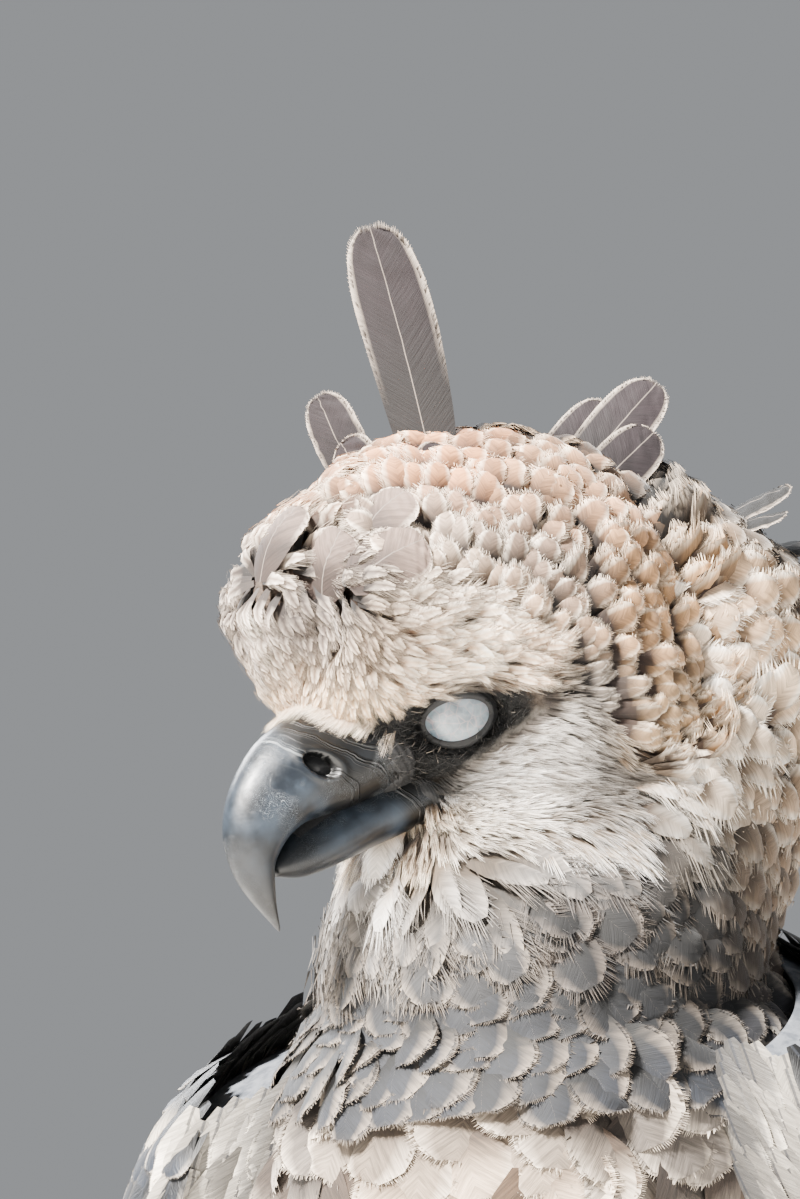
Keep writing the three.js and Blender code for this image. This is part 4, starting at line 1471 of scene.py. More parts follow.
@dataclass(frozen=True)
class DownFinish:
    """The skin under the feathers, downy and tinted by its Tint colours: the black of the bare skin, and
    painted shade from the feathers' roots elsewhere.
    """

    name: str = "down"

    def build(self) -> bpy.types.Material:
        """Makes the material.

        Returns:
            The material.
        """
        tree = Tree(self.name, Roughness=0.95, Specular_IOR_Level=0.15)
        tint = tree.node("Attribute", attribute_name="Tint")
        place = tree.node("TexCoord").outputs["Object"]
        tuft = tree.noise(place, 420.0, 4.0, 0.65)
        shade = tree.span(tuft, 0.3, 0.7, 0.45, 1.1)
        grey = tree.node("CombineColor", {0: shade, 1: shade, 2: shade}).outputs[0]
        tree.join(tree.blend("MULTIPLY", 1.0, tint.outputs["Color"], grey), "Base Color")
        tree.join(tree.span(tint.outputs["Alpha"], 0.2, 0.8, 0.42, 0.95), "Roughness")
        tree.bump(tuft, 0.0015, 0.8)
        return tree.material


@dataclass(frozen=True)
class HornFinish:
    """The bill's horn: slate with pale growth ridges near its base, fine scratches and a darker tip."""

    name: str = "bill_horn"
    body: str = "12161b"
    cloudy: str = "2b343e"
    pale: str = "8f9598"
    dark: str = "050506"

    def build(self) -> bpy.types.Material:
        """Makes the material.

        Returns:
            The material.
        """
        tree = Tree(self.name, Roughness=0.36, Specular_IOR_Level=0.4, Coat_Weight=0.08, Coat_Roughness=0.2)
        place = tree.node("TexCoord").outputs["Object"]
        map_at = tree.node("SeparateXYZ", {0: tree.node("UVMap", uv_map=VANE_MAP).outputs[0]})
        along = map_at.outputs[1]
        fold = tree.sum("ABSOLUTE", tree.sum("MULTIPLY_ADD", map_at.outputs[0], 2.0, -1.0))
        down = tree.sum("SUBTRACT", 1.0, fold)
        cloud = tree.noise(place, 70.0, 4.0, 0.6)
        colour = tree.blend("MIX", tree.span(cloud, 0.36, 0.7, 0.0, 0.9), paint(self.body),
                            paint(self.cloudy))
        warp = tree.noise(place, 60.0, 3.0, 0.6)
        lean = tree.sum("MULTIPLY_ADD", tree.span(down, 0.0, 0.8), 0.13, along)
        ring = tree.sum("MULTIPLY_ADD", warp, 0.09, lean)
        rings = tree.noise(tree.node("CombineXYZ", {0: ring}).outputs[0], 46.0, 2.0, 0.6)
        near_base = tree.sum("MULTIPLY", tree.span(ring, 0.5, 0.36, 0.0, 1.0),
                             tree.span(down, 0.02, 0.1, 0.0, 1.0))
        ridge = tree.sum("MULTIPLY", tree.span(rings, 0.5, 0.64, 0.0, 1.0), near_base)
        colour = tree.blend("MIX", tree.sum("MULTIPLY", ridge, 0.6), colour, paint(self.pale))
        soft_base = tree.sum("MULTIPLY_ADD", down, -0.04, along)
        colour = tree.blend("MIX", tree.span(soft_base, 0.35, 0.25, 0.0, 1.0), colour, paint("060708"))
        web = tree.node("TexVoronoi", {"Vector": self._bent(tree, place), "Scale": 120.0},
                        feature="DISTANCE_TO_EDGE").outputs[0]
        patchy = tree.span(tree.noise(place, 60.0, 2.0), 0.5, 0.62, 0.0, 1.0)
        scratch = tree.sum("MULTIPLY", tree.span(web, 0.035, 0.0, 0.0, 1.0), patchy)
        colour = tree.blend("MIX", tree.sum("MULTIPLY", scratch, 0.5), colour, paint("a3abb3"))
        colour = tree.blend("MIX", tree.span(along, 0.5, 0.95, 0.0, 0.9), colour, paint(self.dark))
        tree.join(colour, "Base Color")
        tree.join(tree.span(cloud, 0.3, 0.7, 0.32, 0.5), "Roughness")
        height = tree.sum("MULTIPLY_ADD", ridge, 0.8, tree.sum("MULTIPLY", cloud, 0.7))
        tree.bump(tree.sum("SUBTRACT", height, tree.sum("MULTIPLY", scratch, 0.5)), 0.0006, 0.8)
        return tree.material

    @staticmethod
    def _bent(tree: Tree, place: bpy.types.NodeSocket) -> bpy.types.NodeSocket:
        """The place moved about by noise, so that straight lines come out curved."""
        noise = tree.node("TexNoise", {"Vector": place, "Scale": 90.0, "Detail": 2.0}).outputs[1]
        return tree.node("VectorMath", {0: place, 1: noise, 3: 0.02}, operation="MULTIPLY_ADD").outputs[0]


@dataclass(frozen=True)
class PlainFinish:
    """A surface of two tones mixed by noise, with a fine bump."""

    name: str
    first: str
    second: str
    roughness: float = 0.6
    grain: float = 260.0
    depth: float = 0.0003
    coat: float = 0.0

    def build(self) -> bpy.types.Material:
        """Makes the material.

        Returns:
            The material.
        """
        tree = Tree(self.name, Roughness=self.roughness, Coat_Weight=self.coat, Coat_Roughness=0.08)
        place = tree.node("TexCoord").outputs["Object"]
        grain = tree.noise(place, self.grain, 5.0, 0.62)
        colour = tree.blend("MIX", tree.span(grain, 0.35, 0.65), paint(self.first), paint(self.second))
        tree.join(colour, "Base Color")
        tree.bump(grain, self.depth, 0.8)
        return tree.material


@dataclass(frozen=True)
class MembraneFinish:
    """The closed third eyelid: bluish white, with faint veins and a wet gloss."""

    name: str = "eye_membrane"

    def build(self) -> bpy.types.Material:
        """Makes the material.

        Returns:
            The material.
        """
        tree = Tree(self.name, Roughness=0.3, Subsurface_Weight=0.15, Coat_Weight=0.5, Coat_Roughness=0.12)
        place = tree.node("TexCoord").outputs["Object"]
        cloud = tree.noise(place, 160.0, 4.0, 0.6)
        colour = tree.blend("MIX", tree.span(cloud, 0.35, 0.7), paint("838c92"), paint("515c64"))
        vein = tree.node("TexVoronoi", {"Vector": place, "Scale": 330.0},
                         feature="DISTANCE_TO_EDGE").outputs[0]
        colour = tree.blend("MIX", tree.span(vein, 0.06, 0.0, 0.0, 0.35), colour, paint("b08f8c"))
        tree.join(colour, "Base Color")
        tree.bump(cloud, 0.0002, 0.5)
        return tree.material


@dataclass(frozen=True)
class ScaleFinish:
    """The scaled skin of the feet: yellow plates with darker, dusty gaps."""

    name: str = "scaled_skin"
    cells: float = 300.0

    def build(self) -> bpy.types.Material:
        """Makes the material.

        Returns:
            The material.
        """
        tree = Tree(self.name, Roughness=0.55, Specular_IOR_Level=0.4)
        place = tree.node("TexCoord").outputs["Object"]
        tint = tree.node("Attribute", attribute_name="Tint")
        gap = tree.node("TexVoronoi", {"Vector": place, "Scale": self.cells},
                        feature="DISTANCE_TO_EDGE").outputs[0]
        edge = tree.span(gap, 0.0, 0.12, 0.0, 1.0)
        dust = tree.noise(place, 130.0, 4.0, 0.65)
        colour = tree.blend("MIX", tree.span(dust, 0.4, 0.7, 0.0, 0.55), tint.outputs["Color"],
                            paint("8f7a3c"))
        colour = tree.blend("MIX", tree.span(edge, 0.0, 1.0, 0.45, 0.0), colour, paint("5b4a22"))
        tree.join(colour, "Base Color")
        tree.bump(tree.sum("MULTIPLY_ADD", dust, 0.3, edge), 0.0005, 0.8)
        return tree.material


# Markings
HEAD_MARKS = Marking([
    Mark((37, 0, 38), 10, 12, 3.2, 4.5, "6b615b", "b5a99f", "fbf3ea", 0.5),
    Mark((36, -12, 34), 8, 12, 3.2, 4.5, "4a403a", "a89a8d", "fdf5ea", 0.5),
    Mark((33, 12, 40), 8, 12, 3.2, 4.5, "4b423f", "857a77", "dcd2c9", 0.5),
    Mark((20, 22, 48), 8, 13, 3.6, 4.0, "443c39", "746b68", "ddd3c9", 0.5),
    Mark((31, 19, 29), 6, 11, 2.8, 4.0, "4a423e", "857a72", "e0d6cb", 0.5),
    Mark((23, 29, 28), 6, 11, 2.6, 3.0, "4b403a", "948579", "e0d3c4", 0.5),
    Mark((38, 4, 22), 8, 10, 2.4, 3.0, "5d4e42", "bda78f", "f3e7d8", 0.5),
    Mark((31, 17, 12), 8, 10, 2.2, 2.5, "7d6650", "dcc5a8", "fbf2e4", 0.5),
    Mark((6, 36, 34), 10, 14, 4.2, 4.5, "4a403b", "b3a69b", "f6ede2", 0.7),
    Mark((10, 36, 13), 11, 13, 3.0, 4.5, "9c8268", "f3e4d2", "fffbf5", 0.4),
    Mark((-12, 46, 4), 9, 12, 2.8, 4.5, "6d5847", "ddc8b2", "fff7ec", 0.4),
    Mark((21, 24, 4), 7, 9, 1.8, 2.0, "84694f", "dcc5a8", "fbf2e4", 0.4),
    Mark((0, 6, 62), 15, 17, 5.4, 5.0, "2c1f18", "b89c84", "fbf0e2", 0.7),
    Mark((-21, 21, 58), 13, 17, 5.6, 5.0, "4e2c1a", "dcb594", "fff3e4", 0.7),
    Mark((-45, 36, 36), 14, 17, 6.0, 4.5, "33221a", "cdb198", "fdf2e4", 0.7),
    Mark((-25, 48, 17), 11, 13, 4.6, 4.0, "2a2320", "a6978c", "f8f0e6", 0.6),
    Mark((-45, 50, 2), 12, 13, 4.6, 5, "4f3c2e", "c3a98c", "f5eadb", 0.6),
    Mark((-19, 48, -4), 6, 8, 1.3, 1.4, "262322", "4a4542", "8d8781", 0.4),
    Mark((-26, 51, -14), 7, 8, 1.3, 1.6, "4a4643", "9b958f", "dfd9d2", 0.4),
    Mark((-12, 41, -6), 4, 6, 1.1, 1.0, "141313", "2a2827", "56524e", 0.4),
    Mark((-12, 43, -19), 7, 9, 1.4, 1.8, "8f8984", "dcd7d1", "fbf8f4", 0.4),
    Mark((17, 21, -8), 12, 4, 0.5, 1.0, "060607", "0b0b0c", "161618", 0.2),
    Mark((0, 26, -7), 12, 4, 0.5, 1.0, "060607", "0b0b0c", "161618", 0.2),
    Mark((14, 18, -20), 9, 4, 0.5, 1.0, "060607", "0b0b0c", "161618", 0.2),
    Mark((0, 31, -26), 8, 9, 1.4, 1.6, "aca6a0", "ebe7e2", "fffefc", 0.3),
    Mark((-10, 37, -34), 9, 10, 1.5, 2.2, "a8a19a", "e6e1db", "fffdfa", 0.3),
    Mark((-17, 46, -38), 9, 11, 1.6, 2.4, "3a3431", "5b544f", "8d857d", 0.3),
    Mark((-17, 56, -42), 10, 11, 1.6, 2.4, "3a3431", "5b544f", "8d857d", 0.3),
    # Painted shadow under the jaw, where the face feathers overhang the throat
    Mark((14, 34, -47), 5, 9, 1.6, 2.4, "3f3833", "766e67", "b8afa5", 0.3),
    Mark((-43, 51, -23), 11, 13, 3.2, 4, "5b4738", "cdb89e", "f7eee1", 0.5),
    Mark((11, 30, -43), 9, 11, 1.7, 2.4, "8d857c", "d8d0c6", "fbf7f1", 0.3, 0.15),
    Mark((-15, 54, -58), 13, 15, 3.0, 4.5, "a3978a", "f0e9e0", "ffffff", 0.4, 0.3),
    Mark((15, 8, -45), 12, 14, 2.4, 3, "6c5d4e", "d2c1ac", "f8f1e6", 0.4, 0.6),
    Mark((-10, 25, -62), 14, 26, 3.6, 4, "8c7d6d", "ebe0d2", "fffaf2", 0.4, 1.0),
    Mark((-60, 0, 50), 14, 18, 6, 6, "1e1613", "54443a", "d8c8b6", 0.7),
    Mark((-87, 25, 15), 14, 22, 8, 6, "070505", "171211", "ddd3c8", 0.6),
    Mark((-83, 44, -12), 14, 20, 7, 7, "5f4936", "d6bd9f", "faf0e2", 0.6),
    Mark((-70, 48, -50), 16, 20, 7, 7, "5f4936", "dcc8ae", "fbf3e8", 0.6),
])

# Places on the neck: degrees from 25 to the right of its front, and 250 for the ruff's whole length
NECK_MARKS = Marking([
    Mark((98, 66, 0), 34, 21, 7.5, 7, "5b4330", "dfc9b0", "fffaf2", 0.7),
    Mark((85, 4, 0), 30, 22, 8, 6, "1e1917", "35302d", "ddd3c8", 0.6),
    Mark((130, 14, 0), 34, 22, 8, 6, "1e1917", "35302d", "ddd3c8", 0.6),
    Mark((85, 100, 0), 22, 22, 7.5, 8, "6b5643", "eadccb", "fffdf8", 0.7),
    Mark((112, 125, 0), 20, 22, 8, 8, "3f3127", "cbb69f", "fdf6ec", 0.7),
    Mark((0, 84, 0), 34, 20, 3.4, 4, "d8cbbb", "fdf8f0", "ffffff", 0.4, 0.3),
    Mark((0, 112, 0), 26, 27, 4.2, 8, "d8cbbb", "ffffff", "ffffff", 0.4, 0.5),
    Mark((38, 112, 0), 20, 27, 5.0, 8, "cdbfae", "ffffff", "ffffff", 0.4, 0.5),
    Mark((10, 130, 0), 16, 24, 5.4, 9, "bda993", "f8efe4", "ffffff", 0.5, 0.35),
    Mark((60, 126, 0), 13, 22, 6.0, 8, "8d7863", "f0e4d6", "fffdf8", 0.6, 0.2),
    Mark((70, 158, 0), 13, 22, 11, 3, "1b1d21", "33363d", "8d857d", 0.7),
    Mark((104, 142, 0), 18, 22, 11, 3, "1b1d21", "33363d", "8d857d", 0.7),
    Mark((40, 164, 0), 11, 22, 11, 3, "1b1d21", "33363d", "98908a", 0.7),
    Mark((14, 164, 0), 11, 22, 11, 3, "1f2125", "44464c", "aaa197", 0.7),
    Mark((20, 186, 0), 22, 24, 12, 3, "24262b", "54575e", "b3aaa0", 0.7),
    Mark((150, 35, 0), 36, 24, 9, 6, "1e1917", "35302d", "d2c9bf", 0.6),
    Mark((178, 75, 0), 36, 24, 9, 5, "2a2421", "5b524b", "c4bab0", 0.7),
    Mark((165, 150, 0), 45, 24, 10, 4, "24272c", "555a63", "b8b1a9", 0.7),
])

# Places on the body: degrees from the middle of the back, and 450 for its whole length
BODY_MARKS = Marking([
    Mark((182, 8, 0), 22, 28, 14, 2, "4a4546", "8d857f", "d8cdc1", 0.8),
    Mark((150, 14, 0), 26, 28, 14, 2, "1f2125", "40434a", "d5cbbf", 0.8),
    Mark((172, 58, 0), 24, 40, 19, 2, "8d7c6c", "ead9c6", "f3e8da", 0.8),
    Mark((140, 50, 0), 20, 36, 17, 2, "4b4d53", "85868a", "e9dfd3", 0.8),
    Mark((155, 95, 0), 40, 34, 15.5, 3, "8a7a6a", "eddfce", "fffaf2", 0.7),
    Mark((180, 200, 0), 90, 32, 14, 4, "a89c8e", "f3eadf", "ffffff", 0.5),
    Mark((150, 380, 0), 80, 30, 12, 4, "a89c8e", "f3ece2", "ffffff", 0.5),
    Mark((100, 150, 0), 60, 30, 12, 4, "6b6a6c", "c9c0b6", "f8f1e7", 0.6),
    Mark((0, 40, 0), 70, 28, 12, 4, "24272c", "4b515b", "a39e97", 0.8),
    Mark((0, 220, 0), 90, 30, 13, 4, "24272c", "4b515b", "9d9891", 0.8),
    Mark((0, 400, 0), 80, 30, 12, 4, "3b3e44", "85868a", "ccc6be", 0.7),
])

# Places on the thighs: degrees from the front, and 320 for their whole length
THIGH_MARKS = Marking([
    Mark((0, 60, 0), 90, 24, 7.5, 3, "c4bdb2", "f3eee6", "ffffff", 0.6),
    Mark((180, 60, 0), 90, 24, 7.5, 3, "bdb6ab", "efe9e0", "fffdf9", 0.6),
    Mark((90, 230, 0), 90, 17, 4.8, 2.5, "bab2a6", "efe9df", "fffdf8", 0.6),
    Mark((90, 310, 0), 60, 12, 3.0, 1.5, "bab2a6", "efe9df", "fffdf8", 0.6),
])


def on_form(length: float, turned: float = 0.0) -> Callable[..., np.ndarray]:
    """Places on a form as degrees and a length, as the marks of neck, body and thighs give them.

    Args:
        length: The marks' number for the form's whole length.
        turned: Degrees that the marks' middle is turned by.

    Returns:
        A function of points, angles and how far along.
    """

    def places(points: np.ndarray, angle: np.ndarray, along: np.ndarray) -> np.ndarray:
        """The places of points of the form."""
        return np.stack([folded_degrees(angle + turned), along * length, 0 * angle], -1)

    return places


# The bird
def hand_over(piece: bpy.types.Object, slot: str, *replaced: str) -> None:
    """Gives a piece to the part: it rides on the root and may stand for solids.

    Args:
        piece: The piece.
        slot: Its material slot; not used.
        replaced: The solids that it stands for.
    """
    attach(piece, "root")
    if replaced:
        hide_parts(*replaced)
    LOG.info("%s: %d triangles", piece.name, len(piece.data.polygons))


@dataclass
class Anatomy:
    """The forms that carry the feathers, in one place."""

    head: Head = field(default_factory=Head)
    torso: Torso = field(default_factory=Torso)
    neck_path: Stations = ((26, 0, 768), (18, -4, 736), (9, -6, 692), (2, -38, 645), (0, -48, 575))
    neck_radius: Stations = ((0, 30), (0.12, 43), (0.3, 53), (0.45, 56), (0.6, 60), (0.8, 62), (0.9, 57),
                             (1, 42))
    leg_path: Stations = ((46, 62, 420), (60, 42, 330), (64, 46, 226), (62, 66, 132))
    thigh_radius: Stations = ((0, 56), (0.3, 62), (0.55, 50), (0.8, 30), (1, 19))
    neck: Limb = field(init=False)
    ruff: Limb = field(init=False)
    thighs: dict[str, Limb] = field(init=False)

    def __post_init__(self) -> None:
        """Builds the limbs from their paths."""
        self.neck = Limb(self.neck_path, self.neck_radius, 0.16, unwrap=(0.02, 0.74, 0.34, 0.98))
        below = tuple(2 * low - high for low, high in zip(self.neck_path[-1], self.neck_path[-2]))
        thick = ((0, 30), (0.096, 43), (0.24, 53), (0.36, 56), (0.48, 60), (0.64, 62), (0.74, 64), (1, 60))
        self.ruff = Limb((*self.neck_path, below), thick, 0.12, unwrap=(0.02, 0.74, 0.34, 1.04))
        places = {"left": (0.36, 0.74, 0.66, 0.98), "right": (0.68, 0.74, 0.98, 0.98)}
        self.thighs = {
            name: Limb([sided(point, side) for point in self.leg_path], self.thigh_radius, 0.16,
                       unwrap=places[name])
            for name, side in SIDES.items()
        }

    def solids(self) -> dict[str, Solid]:
        """Each form as a closed solid, for telling what lies inside it.

        Returns:
            The solids by name.
        """
        forms = {"head": self.head, "torso": self.torso, "neck": self.neck}
        forms |= {f"thigh_{name}": thigh for name, thigh in self.thighs.items()}
        return {name: Solid(form.grid(48, 40, 0.0)) for name, form in forms.items()}


@dataclass
class Skin:
    """One skin over body, neck, head and thighs, under the feathers."""

    anatomy: Anatomy
    bill: "Bill"
    eyes: Sequence["Eye"]
    depth: float = 5.0
    grain: float = 0.0028  # metres
    muzzle: float = 0.11  # how far along the bill the skin reaches

    def build(self, finish: DownFinish) -> bpy.types.Object:
        """Joins the forms into one skin and colours it as the feathers over it.

        Args:
            finish: The skin's finish.

        Returns:
            The skin.
        """
        body = self.anatomy
        grids = [body.torso.grid(96, 90, -self.depth), body.neck.grid(80, 60, -self.depth),
                 body.head.grid(90, 80, -2.5)]
        grids += [thigh.grid(60, 60, -self.depth) for thigh in body.thighs.values()]
        grids += [half.grid(60, 40, 0.9, (0.0, self.muzzle)) for half in (self.bill.upper, self.bill.lower)]
        rough = joined(grids).to_object("skin_rough", finish.build())
        remesh = rough.modifiers.new("one_surface", "REMESH")
        remesh.mode, remesh.voxel_size = "VOXEL", self.grain
        soft = rough.modifiers.new("soft", "SMOOTH")
        soft.factor, soft.iterations = 0.5, 5
        data = bpy.data.meshes.new_from_object(rough.evaluated_get(bpy.context.evaluated_depsgraph_get()))
        bpy.data.objects.remove(rough)
        data.name = "skin"
        data.polygons.foreach_set("use_smooth", np.full(len(data.polygons), True))
        places = np.empty(3 * len(data.vertices), np.float32)
        data.vertices.foreach_get("co", places)
        points = places.reshape(-1, 3) * 1000.0 + BOX_MIDDLE
        for eye in self.eyes:
            points = eye.socketed(points)
        data.vertices.foreach_set("co", ((points - BOX_MIDDLE) / 1000).astype(np.float32).ravel())
        data.update()
        tint = self._tint(points)
        layer = data.color_attributes.new("Tint", "FLOAT_COLOR", "POINT")
        layer.data.foreach_set("color", tint.astype(np.float32).ravel())
        skin = bpy.data.objects.new("skin", data)
        bpy.context.scene.collection.objects.link(skin)
        hand_over(skin, "plumage_pale", "torso", "neck", "head", "thigh_left", "thigh_right")
        return skin

    def _tint(self, points: np.ndarray) -> np.ndarray:
        """The colour of the skin at each point: the darker root tone of the feathers over it, painted shade
        where it shows between them.

        Args:
            points: Points in the bird's frame.

        Returns:
            Red, green, blue and one for each.
        """
        body = self.anatomy
        parts = [(body.head, HEAD_MARKS, 1, None), (body.neck, NECK_MARKS, 0, 200.0),
                 (body.torso, BODY_MARKS, 0, 450.0)]
        parts += [(thigh, THIGH_MARKS, 0, 320.0) for thigh in body.thighs.values()]
        best, colour = np.full(len(points), np.inf), np.zeros((len(points), 3))
        for form, marking, axis, length in parts:
            angle, along = np.meshgrid(np.arange(0, 360, 6.0), np.linspace(*form.span, 61), indexing="ij")
            angle, along = angle.ravel(), along.ravel()
            at = form.point(angle, along, 0.0)
            local = form.local(at) if length is None else on_form(length)(at, angle, along)
            found = marking.at(local, axis)
            # Painted shade: the skin takes a mix leaning to the feathers' root tone, so gaps between
            # feathers look shaded
            shade = mix(found["root"], found["main"], 0.35)
            number, away = Nearest(at).to(points)
            closer = away < best
            best[closer] = away[closer]
            colour[closer] = shade[number[closer]]
        bare = bare_share(body.head.local(points))[:, None]
        return np.hstack([mix(colour, np.tile(tone("08080a"), (len(points), 1)), bare), 1 - bare])


def bare_share(local: np.ndarray) -> np.ndarray:
    """How bare the skin is at places of the head: 1 on the black skin between bill, eye and gape.

    Args:
        local: Places given as forward, left and up.

    Returns:
        A share for each from 0 to 1.
    """
    f, l, u = local[:, 0], np.abs(local[:, 1]), local[:, 2]
    top = np.interp(f, [-16, -8, 0, 10, 17, 24, 34, 44], [-7, -3, -1, 2, 4, 8, 12, 16])
    low = np.interp(f, [-16, -12, -1, 6, 14, 26, 34, 44], [-13, -15, -20, -22, -24, -26, -32, -40])
    inside = smooth(top - u, -1.2, 1.2) * smooth(u - low, -1.2, 1.2)
    return inside * smooth(f, -17, -12) * smooth(l, 6, 10)


@dataclass
class BodyCoat:
    """The feathers of head, neck, body and thighs."""

    anatomy: Anatomy
    bill: "Bill"
    eyes: Sequence["Eye"]
    draw: np.random.Generator
    limit: int = 190000  # triangles in a piece
    solid: dict[str, Solid] = field(init=False)
    beak: Solid = field(init=False)
    lie: Lie = field(init=False)

    def __post_init__(self) -> None:
        """Makes the solids that the roots keep clear of, and the lie of the head's feathers."""
        self.solid = self.anatomy.solids()
        self.beak = Solid(joined([half.grid(32, 24, 0.0) for half in (self.bill.upper, self.bill.lower)]))
        self.lie = Lie(self.anatomy.head)

    def build(self, finish: bpy.types.Material, hair: bpy.types.Material) -> None:
        """Lays all the tracts.

        Args:
            finish: The finish of vaned feathers.
            hair: The finish of hair-like ones.
        """
        face = self._lay_head(finish, hair)
        self._lay_neck(face, finish, hair)
        self._lay_body(finish)

    def _lay_head(self, finish: bpy.types.Material, hair: bpy.types.Material) -> Tract:
        """Lays crown, forehead, the fringe over the bill, and the face.

        Args:
            finish: The finish of vaned feathers.
            hair: The finish of hair-like ones.

        Returns:
            The tract of the face, which runs on over the jaw.
        """
        head, neck, slot = self.anatomy.head, self.solid["neck"], "plumage_head"
        clear = clear_of((self.beak, 0.6), (neck, -14.0))
        rows = partial(self.lie.in_rows, apart=7.0, share=0.3)
        crown = Tract(head, HEAD_MARKS, self._in_head, 1, Cut.COMBED, spread=0.23, tries=150000, mess=9,
                      cup=0.3, patchy=0.3, heading=self.lie.on(head, True), over=[(neck, 6.0)])
        keep = all_of(clear, partial(self._in_zone, zone=0), rows)
        self._lay("coat_crown", crown.grow(self.draw, keep), finish, slot)
        brow = replace(crown, cut=Cut.PLUME, spread=0.27, tries=70000, mess=14, heading=self.lie.on(head),
                       over=())
        keep = all_of(clear, partial(self._in_zone, zone=1))
        self._lay("coat_forehead", brow.grow(self.draw, keep), hair, slot)
        self._lay("coat_fringe", self._fringe_over_bill(), hair, slot)
        face = replace(brow, cut=Cut.HAIR, spread=0.24, tries=90000, mess=8, cup=0.15, patchy=0.4,
                       over=[(neck, 2.5)])
        keep = all_of(clear, partial(self._in_zone, zone=2))
        self._lay("coat_face", face.grow(self.draw, keep), hair, slot)
        return face

    def _lay_neck(self, face: Tract, finish: bpy.types.Material, hair: bpy.types.Material) -> None:
        """Lays jaw, throat, the ruff's rows and the collar.

        Args:
            face: The tract of the face.
            finish: The finish of vaned feathers.
            hair: The finish of hair-like ones.
        """
        ruff, slot = self.anatomy.ruff, "plumage_pale"
        clear = clear_of((self.solid["head"], -4.0), (self.beak, 1.0))
        jaw = replace(face, form=ruff, heading=self.lie.on(ruff), over=())
        self._lay("coat_jaw", jaw.grow(self.draw, all_of(clear, self._on_jaw)), hair, "plumage_head")
        throat = Tract(ruff, NECK_MARKS, on_form(250.0, 25.0), 0, Cut.PLUME, spread=0.25, tries=90000,
                       mess=11, cup=0.25, patchy=0.1, heading=self.lie.on(ruff))
        self._lay("coat_throat", throat.grow(self.draw, all_of(clear, self._at_throat)), hair, slot)
        clear = clear_of((self.solid["head"], -9.0), (self.beak, 1.0), (self.solid["torso"], -9.0))
        neck = replace(throat, cut=Cut.COMBED, spread=0.23, tries=150000, mess=9, cup=0.3, patchy=0.15,
                       heading=self.lie.on(ruff, True), over=[(self.solid["torso"], 5.0)])
        keep = all_of(clear, self._on_ruff, partial(self.lie.in_rows, apart=8.5, share=0.3),
                      partial(between, low=634.0, high=1000.0))
        self._lay("coat_neck", neck.grow(self.draw, keep), finish, slot)
        collar = replace(neck, cut=Cut.SOFT, spread=0.3, mess=8, flat=0.4, patchy=0.3)
        keep = all_of(clear, partial(between, low=594.0, high=644.0))
        self._lay("coat_collar", collar.grow(self.draw, keep), finish, slot)

    def _lay_body(self, finish: bpy.types.Material) -> None:
        """Lays body and thighs.

        Args:
            finish: The feathers' finish.
        """
        solid, slot = self.solid, "plumage_pale"
        torso = Tract(self.anatomy.torso, BODY_MARKS, on_form(450.0), 0, Cut.SOFT, spread=0.36, tries=40000,
                      mess=8, patchy=0.35, over=[(solid["thigh_left"], 3.0), (solid["thigh_right"], 3.0)])
        clear = clear_of((solid["neck"], -8.0), (solid["thigh_left"], -6.0), (solid["thigh_right"], -6.0))
        self._lay("coat_body", torso.grow(self.draw, clear), finish, slot)
        for name, thigh in self.anatomy.thighs.items():
            tract = Tract(thigh, THIGH_MARKS, on_form(320.0), 0, Cut.COMBED, spread=0.46, tries=14000,
                          mess=7)
            clear = clear_of((solid["torso"], -3.0))
            self._lay(f"coat_thigh_{name}", tract.grow(self.draw, clear), finish, slot)

    def _in_head(self, points: np.ndarray, angle: np.ndarray, along: np.ndarray) -> np.ndarray:
        """Points as forward, left and up, as the head's marks give them."""
        return self.anatomy.head.local(points)

    def _in_zone(self, points: np.ndarray, zone: int) -> np.ndarray:
        """Whether each point is in a zone of the head."""
        return self._zone(points) == zone

    def _on_ruff(self, points: np.ndarray) -> np.ndarray:
        """Whether each point is off the hair-like throat and jaw."""
        return ~self._at_throat(points) & ~self._on_jaw(points)

    def _fringe_over_bill(self) -> Plumes:
        """The tufts that hang from the forehead over the bill's base, in two lobes.

        Returns:
            The tufts.
        """
        form = self.bill.upper
        count = 360
        angle = self.draw.uniform(-60, 50, count)
        tip = 0.11 + 0.085 * bell((angle + 32) / 20) + 0.045 * bell((angle - 36) / 16)
        start = self.draw.uniform(-0.02, 0.08, count)
        along = np.maximum(start, 0.01)
        share = np.maximum(tip + self.draw.normal(0, 0.01, count) - along, 0.03)
        length = share * form.metric(angle, along + 0.08)[1]
        high = mix(5.0, 9.0, self.draw.uniform(0, 1, count)) * (1 - 6 * along * 0.9)
        spine, normal = spines(form, (angle, along), length, np.full(count, 1.6),
                               self.draw.normal(0, 12, count), np.zeros(count),
                               sink=-np.maximum(high, 2)[:, None])
        found = HEAD_MARKS.at(self.anatomy.head.local(spine[:, 3]), 1)
        pale = self.draw.uniform(0, 1, (count, 1))
        main = mix(mix(found["main"], tone("e8dacb"), 0.75), found["root"], 0.5 * pale**2)
        head = self.anatomy.head
        place = head.bake_place(*head.angles(head.local(spine[:, 0])))
        wide = self.draw.uniform(2.2, 3.4, count)
        # The root tone is painted shade under the overlapping tufts
        return Plumes(Cut.PLUME, spine, normal, wide, mix(found["root"], main, 0.5), main,
                      np.tile(tone("fbf3e8"), (count, 1)), place, cup=0.25, streak=0.4)

    def _on_jaw(self, points: np.ndarray) -> np.ndarray:
        """Whether each point is on the hairy cheek and jaw, where they run on over the neck.

        Args:
            points: Points in the bird's frame.

        Returns:
            One truth value for each.
        """
        f, l, u = self.anatomy.head.local(points).T
        low = np.interp(f, [-40, -15, 11, 25], [-70, -58, -44, -40])
        return (u > low) & (f > np.interp(u, [-60, -40, -20, 0], [-20, -28, -33, -30])) & (np.abs(l) > 6)

